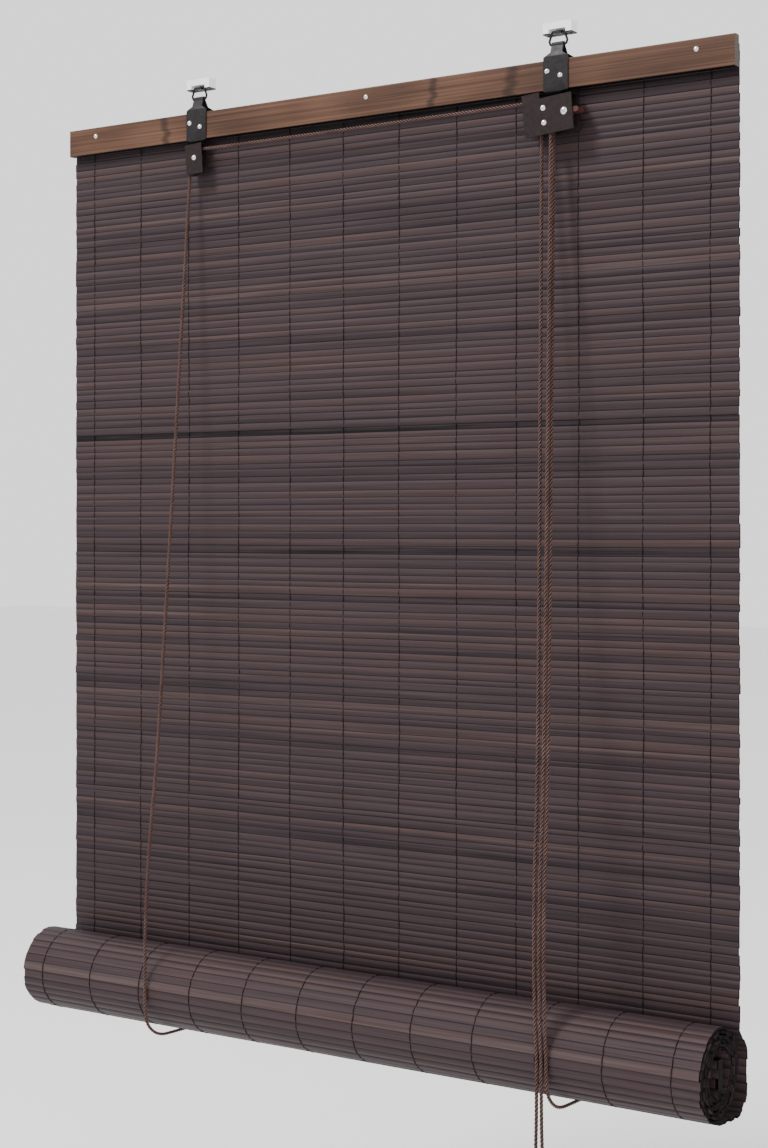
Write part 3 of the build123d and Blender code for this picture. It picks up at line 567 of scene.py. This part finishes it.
def same(tree, first, second):
    inputs = {2: first, 3: second}
    return put(tree, "FunctionNodeCompare", inputs, data_type="INT", operation="EQUAL").outputs[0]


def lineCurve(tree, source):
    # the middle line arrives as a mesh of edges
    info = put(tree, "GeometryNodeObjectInfo", {0: source}, transform_space="RELATIVE")
    return put(tree, "GeometryNodeMeshToCurve", {0: info.outputs["Geometry"]}).outputs[0]


# how the odd slats differ: the named one is thinner by a share of the pitch, dark ones are darker and sunk,
# in part only where they are dark by chance, and pale ones are paler and proud
oddSlats = {"thinner": 0.42, "byChance": 0.45, "darker": 0.85, "sunk": 0.0006, "paler": 0.14,
            "proud": 0.0003}
# shares of the slat's length and of the wave, and how fast the wave changes along X and from slat to slat
bending = {"shortest": 0.9982, "waves": 7.0, "drift": 0.16, "depth": 0.8, "height": 2.0}


def slatTree():
    tree, given = newTree("slatsAlongLine", [
        ("Line", "Object", None), ("Blank", "Object", None), ("Count", "Int", 10),
        ("Line Length", "Float", 1.0), ("Blank Height", "Float", 0.007), ("Edge Jitter", "Float", 0.12),
        ("Overlap", "Float", 0.0), ("Depth Jitter", "Float", 0.0), ("End Jitter", "Float", 0.0),
        ("Wave", "Float", 0.0), ("Dark Slat", "Int", -1), ("Dark Top", "Float", 0.0),
        ("Dark Share", "Float", 0.0), ("Pale Share", "Float", 0.0), ("Tone Low", "Float", 0.2),
        ("Tone High", "Float", 0.8), ("Seed", "Int", 1), ("Finish", "Material", None),
    ])
    curve = lineCurve(tree, given["Line"])
    index = put(tree, "GeometryNodeInputIndex").outputs[0]
    count = given["Count"]
    points = put(tree, "GeometryNodeMeshLine", {0: count, 3: (0, 0, 0)}).outputs[0]

    def edge(number, inside):
        # the line's share at which a slat starts, moved at random where it isn't an end of the line
        moved = randomFrom(tree, -1.0, 1.0, number, given["Seed"])
        moved = calc(tree, "MULTIPLY", moved, given["Edge Jitter"])
        thinner = calc(tree, "MULTIPLY", same(tree, number, given["Dark Slat"]), oddSlats["thinner"])
        moved = calc(tree, "ADD", moved, thinner)
        return calc(tree, "DIVIDE", calc(tree, "ADD", number, calc(tree, "MULTIPLY", moved, inside)), count)

    after = calc(tree, "ADD", index, 1)
    first = edge(index, calc(tree, "GREATER_THAN", index, 0.5))
    second = edge(after, calc(tree, "LESS_THAN", after, calc(tree, "SUBTRACT", count, 0.5)))
    middle = calc(tree, "MULTIPLY", calc(tree, "ADD", first, second), 0.5)
    height = calc(tree, "MULTIPLY", calc(tree, "SUBTRACT", second, first), given["Line Length"])
    height = calc(tree, "DIVIDE", calc(tree, "ADD", height, given["Overlap"]), given["Blank Height"])
    sample = put(tree, "GeometryNodeSampleCurve", {"Curves": curve, "Factor": middle}, mode="FACTOR",
                 data_type="FLOAT")
    back = scaled(tree, sample.outputs["Tangent"], -1.0)
    turned = put(tree, "FunctionNodeAlignRotationToVector", {"Vector": back}, axis="Z", pivot_axis="X")
    turned = turned.outputs[0]
    chance = randomFrom(tree, 0.0, 1.0, index, calc(tree, "ADD", given["Seed"], 3))
    named = same(tree, index, given["Dark Slat"])
    # slats numbered below the top count are painted dark as the rail's shadow on them, and sunk like the dark
    # slats
    named = calc(tree, "MAXIMUM", named, calc(tree, "LESS_THAN", index, given["Dark Top"]))
    dark = calc(tree, "LESS_THAN", chance, given["Dark Share"])
    dark = calc(tree, "MULTIPLY", dark, oddSlats["byChance"])
    dark = calc(tree, "MAXIMUM", dark, named)
    pale = calc(tree, "GREATER_THAN", chance, calc(tree, "SUBTRACT", 1.0, given["Pale Share"]))
    tone = randomFrom(tree, given["Tone Low"], given["Tone High"], index, calc(tree, "ADD", given["Seed"], 1))
    kept = calc(tree, "SUBTRACT", 1.0, calc(tree, "MULTIPLY", dark, oddSlats["darker"]))
    tone = calc(tree, "MULTIPLY", tone, kept)
    tone = calc(tree, "ADD", tone, calc(tree, "MULTIPLY", pale, oddSlats["paler"]))
    depth = randomFrom(tree, -1.0, 1.0, index, calc(tree, "ADD", given["Seed"], 2))
    depth = calc(tree, "MULTIPLY", depth, given["Depth Jitter"])
    depth = calc(tree, "ADD", depth, calc(tree, "MULTIPLY", dark, oddSlats["sunk"]))
    depth = calc(tree, "SUBTRACT", depth, calc(tree, "MULTIPLY", pale, oddSlats["proud"]))
    ends = randomFrom(tree, -1.0, 1.0, index, calc(tree, "ADD", given["Seed"], 5))
    ends = calc(tree, "MULTIPLY", ends, given["End Jitter"])
    away = put(tree, "ShaderNodeCombineXYZ", {0: ends, 1: depth}).outputs[0]
    away = put(tree, "FunctionNodeRotateVector", {0: away, 1: turned}).outputs[0]
    spot = vector(tree, "ADD", sample.outputs["Position"], away)
    points = put(tree, "GeometryNodeSetPosition", {"Geometry": points, "Position": spot}).outputs[0]
    for label, value in (("tone", tone), ("slatNumber", index)):
        inputs = {"Geometry": points, "Name": label, "Value": value}
        points = put(tree, "GeometryNodeStoreNamedAttribute", inputs, data_type="FLOAT", domain="POINT")
        points = points.outputs[0]
    blank = put(tree, "GeometryNodeObjectInfo", {0: given["Blank"]}, transform_space="RELATIVE")
    length = randomFrom(tree, bending["shortest"], 1.0, index, calc(tree, "ADD", given["Seed"], 4))
    size = put(tree, "ShaderNodeCombineXYZ", {0: length, 1: 1.0, 2: height}).outputs[0]
    inputs = {"Points": points, "Instance": blank.outputs["Geometry"], "Rotation": turned, "Scale": size}
    slats = put(tree, "GeometryNodeInstanceOnPoints", inputs)
    slats = put(tree, "GeometryNodeRealizeInstances", {0: slats.outputs[0]}).outputs[0]
    # each slat bends a little, much as its neighbours do
    number = put(tree, "GeometryNodeInputNamedAttribute", {"Name": "slatNumber"}, data_type="FLOAT")
    number = number.outputs[0]
    position = put(tree, "GeometryNodeInputPosition").outputs[0]
    along = put(tree, "ShaderNodeSeparateXYZ", {0: position}).outputs[0]
    along = calc(tree, "MULTIPLY", along, bending["waves"])
    stretch = put(tree, "ShaderNodeCombineXYZ", {0: along}).outputs[0]
    drift = calc(tree, "MULTIPLY", calc(tree, "ADD", number, given["Seed"]), bending["drift"])
    inputs = {"Vector": stretch, "W": drift, "Scale": 1.0, "Detail": 2.0}
    ripple = put(tree, "ShaderNodeTexNoise", inputs, noise_dimensions="4D").outputs["Color"]
    ripple = vector(tree, "SUBTRACT", ripple, (0.5, 0.5, 0.5))
    ripple = vector(tree, "MULTIPLY", ripple, (0, bending["depth"], bending["height"]))
    bent = scaled(tree, ripple, given["Wave"])
    slats = put(tree, "GeometryNodeSetPosition", {"Geometry": slats, "Offset": bent}).outputs[0]
    closeTree(tree, slats, given["Finish"])
    return tree


def threadTree():
    tree, given = newTree("threadsOverSlats", [
        ("Line", "Object", None), ("Slats", "Int", 10), ("Columns", "Int", 12), ("Spread", "Float", 0.744),
        ("Radius", "Float", 0.0004), ("Knot", "Float", 1.6), ("Groove Depth", "Float", 0.0007),
        ("Face Depth", "Float", 0.0014), ("Side", "Float", 1.0), ("Wander", "Float", 0.0006),
        ("Seed", "Int", 1), ("Finish", "Material", None),
    ])
    curve = lineCurve(tree, given["Line"])
    steps = calc(tree, "ADD", calc(tree, "MULTIPLY", given["Slats"], 4), 1)
    curve = put(tree, "GeometryNodeResampleCurve", {"Curve": curve, "Count": steps}, mode="COUNT").outputs[0]
    index = put(tree, "GeometryNodeInputIndex").outputs[0]
    phase = calc(tree, "MULTIPLY", index, math.pi / 4)
    over = calc(tree, "ABSOLUTE", calc(tree, "SINE", phase))
    rise = calc(tree, "SUBTRACT", given["Face Depth"], given["Groove Depth"])
    reach = calc(tree, "ADD", given["Groove Depth"], calc(tree, "MULTIPLY", over, rise))
    tangent = put(tree, "GeometryNodeInputTangent").outputs[0]
    outward = vector(tree, "CROSS_PRODUCT", tangent, (1.0, 0.0, 0.0))
    moved = scaled(tree, outward, calc(tree, "MULTIPLY", reach, given["Side"]))
    curve = put(tree, "GeometryNodeSetPosition", {"Geometry": curve, "Offset": moved}).outputs[0]
    groove = calc(tree, "SUBTRACT", 1.0, calc(tree, "MULTIPLY", over, over))
    swell = calc(tree, "SUBTRACT", given["Knot"], 1.0)
    thick = calc(tree, "ADD", 1.0, calc(tree, "MULTIPLY", groove, swell))
    curve = put(tree, "GeometryNodeSetCurveRadius", {0: curve, 2: thick}).outputs[0]
    half = calc(tree, "MULTIPLY", given["Spread"], -0.5)
    start = put(tree, "ShaderNodeCombineXYZ", {0: half}).outputs[0]
    gap = calc(tree, "DIVIDE", given["Spread"], calc(tree, "SUBTRACT", given["Columns"], 1))
    offset = put(tree, "ShaderNodeCombineXYZ", {0: gap}).outputs[0]
    columns = put(tree, "GeometryNodeMeshLine", {0: given["Columns"], 2: start, 3: offset}).outputs[0]
    strands = put(tree, "GeometryNodeInstanceOnPoints", {"Points": columns, "Instance": curve}).outputs[0]
    strands = put(tree, "GeometryNodeRealizeInstances", {0: strands}).outputs[0]
    position = put(tree, "GeometryNodeInputPosition").outputs[0]
    shakes = []
    # a fine shake and a slow drift, as (features a metre, detail)
    for scale, detail in ((160.0, 1.0), (7.0, 0.0)):
        inputs = {"Vector": position, "W": given["Seed"], "Scale": scale, "Detail": detail}
        shakes.append(put(tree, "ShaderNodeTexNoise", inputs, noise_dimensions="4D").outputs["Color"])
    shake = vector(tree, "SUBTRACT", vector(tree, "ADD", *shakes), (1.0, 1.0, 1.0))
    wander = scaled(tree, vector(tree, "MULTIPLY", shake, (4.0, 0.0, 0.0)), given["Wander"])
    strands = put(tree, "GeometryNodeSetPosition", {"Geometry": strands, "Offset": wander}).outputs[0]
    ring = put(tree, "GeometryNodeCurvePrimitiveCircle", {"Resolution": 5, "Radius": given["Radius"]})
    inputs = {"Curve": strands, "Profile Curve": ring.outputs[0], "Fill Caps": True}
    body = put(tree, "GeometryNodeCurveToMesh", inputs).outputs[0]
    body = put(tree, "GeometryNodeSetShadeSmooth", {"Geometry": body}).outputs[0]
    closeTree(tree, body, given["Finish"])
    return tree


def lineObject(name, points):
    # a line in the YZ plane, as a mesh of edges that a tree reads
    mesh = bpy.data.meshes.new(name)
    mesh.from_pydata([(0.0, y, z) for y, z in points], [(n, n + 1) for n in range(len(points) - 1)], [])
    line = bpy.data.objects.new(name, mesh)
    scene.collection.objects.link(line)
    return line, sum(math.dist(a, b) for a, b in zip(points, points[1:]))


def slatBlank(name, length, height, thickness, frontRound, backRound, parts):
    # one slat: a section with a rounded front and softer back corners, swept along X in short parts
    half, top = thickness / 2, height / 2
    section = []
    for cy, cz, radius, start in (
        (-half, -top, frontRound, 180), (half, -top, backRound, 270),
        (half, top, backRound, 0), (-half, top, frontRound, 90),
    ):
        inwardY, inwardZ = (radius if cy < 0 else -radius), (radius if cz < 0 else -radius)
        for angle in ((0, 45, 90) if radius > 0.0005 else (0, 90)):
            turn = math.radians(start + angle)
            section.append((cy + inwardY + math.cos(turn) * radius, cz + inwardZ + math.sin(turn) * radius))
    shape = bmesh.new()
    rings = [
        [shape.verts.new((length * (k / parts - 0.5), y, z)) for y, z in section] for k in range(parts + 1)
    ]
    for first, second in zip(rings, rings[1:]):
        for number in range(len(section)):
            after = (number + 1) % len(section)
            shape.faces.new((first[number], first[after], second[after], second[number]))
    shape.faces.new(rings[0][::-1])
    shape.faces.new(rings[-1])
    bmesh.ops.recalc_face_normals(shape, faces=shape.faces)
    mesh = bpy.data.meshes.new(name)
    shape.to_mesh(mesh)
    shape.free()
    attribute = mesh.attributes.new("across", "FLOAT", "POINT")
    attribute.data.foreach_set("value", [vertex.co.z / top for vertex in mesh.vertices])
    mesh.shade_smooth()
    mesh.set_sharp_from_angle(angle=math.radians(50))
    blank = bpy.data.objects.new(name, mesh)
    scene.collection.objects.link(blank)
    return blank


def grown(name, tree, values, finish, slotName, body, nodes):
    # run a tree on an empty mesh, keep the result as a plain mesh
    host = bpy.data.objects.new(name + "Host", bpy.data.meshes.new(name + "Host"))
    modifier = host.modifiers.new("shape", "NODES")
    modifier.node_group = tree
    for socket in tree.interface.items_tree:
        if socket.in_out == "INPUT" and socket.name in values:
            modifier[socket.identifier] = values[socket.name]
    scene.collection.objects.link(host)
    bpy.context.view_layer.update()
    evaluated = host.evaluated_get(bpy.context.evaluated_depsgraph_get())
    mesh = bpy.data.meshes.new_from_object(evaluated)
    mesh.name = name
    bpy.data.objects.remove(host)
    return place(name, mesh, finish, slotName, body, nodes)


woven = {
    "frontRound": 0.00095, "backRound": 0.0004, "rolledRound": 0.0005, "parts": 12, "rolledParts": 8,
    "width": 0.8, "thickness": 0.0022, "pitch": 0.0072, "rolledPitch": 0.0084, "middleY": 0.006,
    "columns": 12, "columnSpread": 0.744, "hangingSlats": 120, "railSlats": 3,
    "railFoot": -0.065, "sheetEnd": -0.929,
}
roll = {"y": -0.0363, "z": -0.9605, "radius": 0.0417, "pitch": 0.0036, "halfTurns": 12, "innerBend": 0.006,
        "lath": 0.028, "under": -1.0037, "waves": 0.0005, "waveCount": 5, "waveShift": 900}
leadIn = {"behind": 0.0166, "straightTop": -0.9545, "straightMiddle": -0.97, "bendZ": -0.9827, "bend": 0.024,
          "sweep": -86}


def arcPoints(y, z, radius, start, sweep, count, waves=0.0):
    points = []
    for number in range(1, count + 1):
        angle = math.radians(start + sweep * number / count)
        loose = radius + waves * math.sin(angle * roll["waveCount"] + radius * roll["waveShift"])
        points.append((y + math.cos(angle) * loose, z + math.sin(angle) * loose))
    return points


def rollLine():
    # half circles of shrinking radius, front halves and back halves in turn, then up on to the lath
    middle = roll["radius"] - woven["thickness"] / 2
    points = [(roll["y"], roll["z"] - middle)]
    for number in range(roll["halfTurns"]):
        radius = middle - number * roll["pitch"] / 2
        front = number % 2 == 0
        z = roll["z"] if front else roll["z"] + roll["pitch"] / 2
        waves = 0.0 if number < 2 else roll["waves"]
        points += arcPoints(roll["y"], z, radius, 270 if front else 90, -180, 40, waves)
    bend = roll["innerBend"] - woven["thickness"] / 2
    foot = roll["z"] - roll["radius"] + roll["halfTurns"] * roll["pitch"] / 2 + roll["innerBend"]
    points += arcPoints(roll["y"], foot, bend, 270, -90, 6)
    points.append((roll["y"] - bend, foot + roll["lath"]))
    return points


def leadInLine():
    # off the hanging sheet, down behind the roll and under it
    top = (woven["middleY"], woven["sheetEnd"])
    back, bend = woven["middleY"] + leadIn["behind"], leadIn["bend"]
    points = [top, (0.0125, -0.9372), (0.0182, -0.9436), (0.0213, -0.9485), (back, leadIn["straightTop"])]
    points += [(back, leadIn["straightMiddle"]), (back, leadIn["bendZ"])]
    points += arcPoints(back - bend, leadIn["bendZ"], bend, 0, leadIn["sweep"], 10)
    points.append((roll["y"], roll["under"]))
    return points


slats, threads = slatTree(), threadTree()
frontBlank = slatBlank("slatBlank", woven["width"], woven["pitch"], woven["thickness"], woven["frontRound"],
                       woven["backRound"], woven["parts"])
rollBlank = slatBlank("rolledSlatBlank", woven["width"], woven["rolledPitch"], woven["thickness"],
                      woven["rolledRound"], woven["rolledRound"], woven["rolledParts"])


def straightLine(name, top, foot):
    return lineObject(name, [(woven["middleY"], top), (woven["middleY"], foot)])


hangLine, hangLength = straightLine("hangLine", woven["railFoot"], woven["sheetEnd"])
railTop = woven["railFoot"] + woven["railSlats"] * woven["pitch"]
railLine, railLength = straightLine("railLine", railTop, woven["railFoot"])
turnLine, turnLength = lineObject("turnLine", leadInLine())
rolledLine, rolledLength = lineObject("rolledLine", rollLine())
print(f"sheet lengths: hanging {hangLength:.3f}, loose turn {turnLength:.3f}, rolled {rolledLength:.3f}")


def slatPiece(name, line, length, count, blank, blankHeight, finish, body, nodes, seed, **changes):
    values = {
        "Line": line, "Blank": blank, "Count": count, "Line Length": length, "Blank Height": blankHeight,
        "Edge Jitter": 0.19, "Overlap": 0.00055, "Depth Jitter": 0.00022, "End Jitter": 0.0005,
        "Wave": 0.0009, "Dark Share": 0.07, "Pale Share": 0.05, "Tone Low": 0.3, "Tone High": 0.72,
        "Seed": seed, "Finish": finishes[finish],
    }
    values.update(changes)
    return grown(name, slats, values, finish, "dark_bamboo", body, nodes)


def threadPieces(name, line, count, body, nodes, seed, **changes):
    made = []
    for label, side in (("Front", 1.0), ("Back", -1.0)):
        values = {
            "Line": line, "Slats": count, "Columns": woven["columns"], "Spread": woven["columnSpread"],
            "Radius": 0.00043, "Knot": 2.5, "Groove Depth": 0.0008, "Face Depth": 0.0014, "Side": side,
            "Wander": 0.0006, "Seed": seed, "Finish": finishes["thread"],
        }
        values.update(changes)
        made.append(grown(name + label, threads, values, "thread", "thread", body, nodes if side > 0 else ()))
    return made


# the top hanging slat, just under the rail, is painted dark as the rail's shadow on it
hanging = slatPiece("hangingSlats", hangLine, hangLength, woven["hangingSlats"], frontBlank, woven["pitch"],
                    "dark_bamboo", "rail_group", ["hanging_slats"], 11, **{"Dark Slat": 43, "Dark Top": 0.5})
slatPiece("railSlats", railLine, railLength, woven["railSlats"], frontBlank, woven["pitch"], "dark_bamboo",
          "rail_group", ["rail_slats"], 12)
looseCount = round(turnLength / woven["pitch"])
slatPiece("looseTurnSlats", turnLine, turnLength, looseCount, frontBlank, woven["pitch"], "dark_bamboo",
          "loose_turn", ["lead_in_sheet"], 13, **{"End Jitter": 0.0012})
rolledCount = round(rolledLength / woven["rolledPitch"])
rolledChanges = {"End Jitter": 0.0016, "Edge Jitter": 0.16, "Dark Share": 0.0, "Wave": 0.0005}
slatPiece("rolledSlats", rolledLine, rolledLength, rolledCount, rollBlank, woven["rolledPitch"],
          "rolledBamboo", "roll", ["roll_turns"], 14, **rolledChanges)
threadSeed = 3
hangingThreads = threadPieces("warpThreads", hangLine, woven["hangingSlats"], "rail_group", ["warp_threads"],
                              threadSeed)
threadPieces("looseTurnThreads", turnLine, looseCount, "loose_turn", (), threadSeed)
threadPieces("rolledThreads", rolledLine, rolledCount, "roll", (), threadSeed,
             **{"Face Depth": 0.0016, "Groove Depth": 0.0011})
for piece in (hanging, *hangingThreads):
    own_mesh(piece)
for helper in (frontBlank, rollBlank, hangLine, railLine, turnLine, rolledLine):
    bpy.data.objects.remove(helper)
print("woven sheet made")


# rail, hooks, straps and lock
bodyOf = {node: body for body, nodes in frame["record"]["behaviour"]["bodies"].items() for node in nodes}
slotOf = {part["node"]: part["material_slot"] for part in frame["record"]["subparts"]}


# angles in degrees: faces flatter than "flat" are joined, corners sharper than "corner" are eased, and
# shading breaks at the last two, on eased and on plain pieces
easing = {"weld": 2e-6, "flat": 1.5, "corner": 35, "easedShade": 18, "plainShade": 40}


def softCopy(name, node, finish, edge):
    # a CAD node's shape, merged, with its sharp edges eased
    shape = bmesh.new()
    shape.from_mesh(frame["nodes"][node].data)
    bmesh.ops.remove_doubles(shape, verts=shape.verts, dist=easing["weld"])
    flat = math.radians(easing["flat"])
    bmesh.ops.dissolve_limit(shape, angle_limit=flat, verts=shape.verts, edges=shape.edges)
    mesh = bpy.data.meshes.new(name)
    shape.to_mesh(mesh)
    shape.free()
    if edge:
        host = bpy.data.objects.new(name + "Host", mesh)
        scene.collection.objects.link(host)
        eased = host.modifiers.new("eased", "BEVEL")
        eased.width = edge
        eased.segments = 2
        eased.limit_method = "ANGLE"
        eased.angle_limit = math.radians(easing["corner"])
        bpy.context.view_layer.update()
        mesh = bpy.data.meshes.new_from_object(host.evaluated_get(bpy.context.evaluated_depsgraph_get()))
        mesh.name = name
        bpy.data.objects.remove(host)
    mesh.shade_smooth()
    mesh.set_sharp_from_angle(angle=math.radians(easing["easedShade" if edge else "plainShade"]))
    return place(name, mesh, finish, slotOf[node], bodyOf[node], [node])


# node: piece, finish, width of its eased edges
hardware = {
    "head_rail": ("headRail", "rail_bamboo", 0.0),
    "bottom_lath": ("bottomLath", "lath", 0.0),
    "left_hook_block": ("leftHookBlock", "white_plastic", 0.0007),
    "right_hook_block": ("rightHookBlock", "white_plastic", 0.0007),
    "left_hook_plate": ("leftHookPlate", "black_steel", 0.0),
    "right_hook_plate": ("rightHookPlate", "black_steel", 0.0),
    "left_bail": ("leftBail", "black_steel", 0.0),
    "right_bail": ("rightBail", "black_steel", 0.0),
    "left_strap": ("leftStrap", "black_steel", 0.00022),
    "right_strap": ("rightStrap", "black_steel", 0.00022),
    "left_pulley_housing": ("leftPulleyHousing", "lockSteel", 0.00022),
    "right_lock_housing": ("rightLockHousing", "lockSteel", 0.00022),
    "lock_cam": ("lockCam", "cam_plastic", 0.0004),
    "guide_spacer": ("guideSpacer", "wheel_plastic", 0.0),
    "left_wheel": ("leftWheel", "wheel_plastic", 0.0),
    "lock_wheel_rear": ("rearLockWheel", "wheel_plastic", 0.0),
    "lock_wheel_front": ("frontLockWheel", "wheel_plastic", 0.0),
    "rail_nails": ("railNails", "bright_steel", 0.0),
    "left_strap_rivets": ("leftStrapRivets", "bright_steel", 0.0),
    "right_strap_rivets": ("rightStrapRivets", "bright_steel", 0.0),
    "left_axle_rivet": ("leftAxleRivet", "bright_steel", 0.0),
    "lock_axle_rivet": ("lockAxleRivet", "bright_steel", 0.0),
    "cam_rivet": ("camRivet", "bright_steel", 0.0),
    "guide_rivet": ("guideRivet", "bright_steel", 0.0),
}
for node, (name, finish, edge) in hardware.items():
    softCopy(name, node, finish, edge)
carried = [name for name, node in frame["nodes"].items() if not node.hide_render]
for name in carried:
    node = frame["nodes"][name]
    node.data.materials.clear()
    node.data.materials.append(finishes[slotOf[name]])
print("hardware made; CAD nodes still shown:", carried)


# floor and light
studio = {
    "floorZ": -1.32, "floorSize": 14.0, "sky": 1.5,
    "keyPlace": (-0.9, -1.7, 2.1), "keyTarget": (0.0, 0.0, -0.45), "keyPower": 120.0, "keySize": 0.7,
    "fillPlace": (2.2, -1.6, 0.2), "fillTarget": (0.0, 0.0, -0.5), "fillPower": 10.0, "fillSize": 1.6,
}

floorMesh = bpy.data.meshes.new("studioFloor")
reach = studio["floorSize"]
corners = [(x * reach, y * reach, studio["floorZ"]) for x, y in ((-1, -1), (1, -1), (1, 1), (-1, 1))]
floorMesh.from_pydata(corners, [], [(0, 1, 2, 3)])
floor = bpy.data.objects.new("studioFloor", floorMesh)
scene.collection.objects.link(floor)
paper, tree, shader, spot = blankMaterial("palePaper")
tree.links.new(mixed(tree, noise(tree, spot, 1.5, 2.0, 0.5), (0.86, 0.86, 0.86, 1), (0.9, 0.9, 0.9, 1)),
               shader.inputs["Base Color"])
shader.inputs["Roughness"].default_value = 0.9
floorMesh.materials.append(paper)

world = bpy.data.worlds.new("studioSky")
scene.world = world
world.use_nodes = True
world.node_tree.nodes["Background"].inputs[0].default_value = (1.0, 1.0, 1.0, 1)
world.node_tree.nodes["Background"].inputs[1].default_value = studio["sky"]


def areaLight(name, spot, target, power, size):
    lamp = bpy.data.lights.new(name, "AREA")
    lamp.energy = power
    lamp.size = size
    holder = bpy.data.objects.new(name, lamp)
    scene.collection.objects.link(holder)
    holder.location = spot
    holder.rotation_euler = (Vector(target) - Vector(spot)).to_track_quat("-Z", "Y").to_euler()


for light in ("key", "fill"):
    areaLight(light + "Light", *[studio[light + part] for part in ("Place", "Target", "Power", "Size")])
print("floor and lights made")
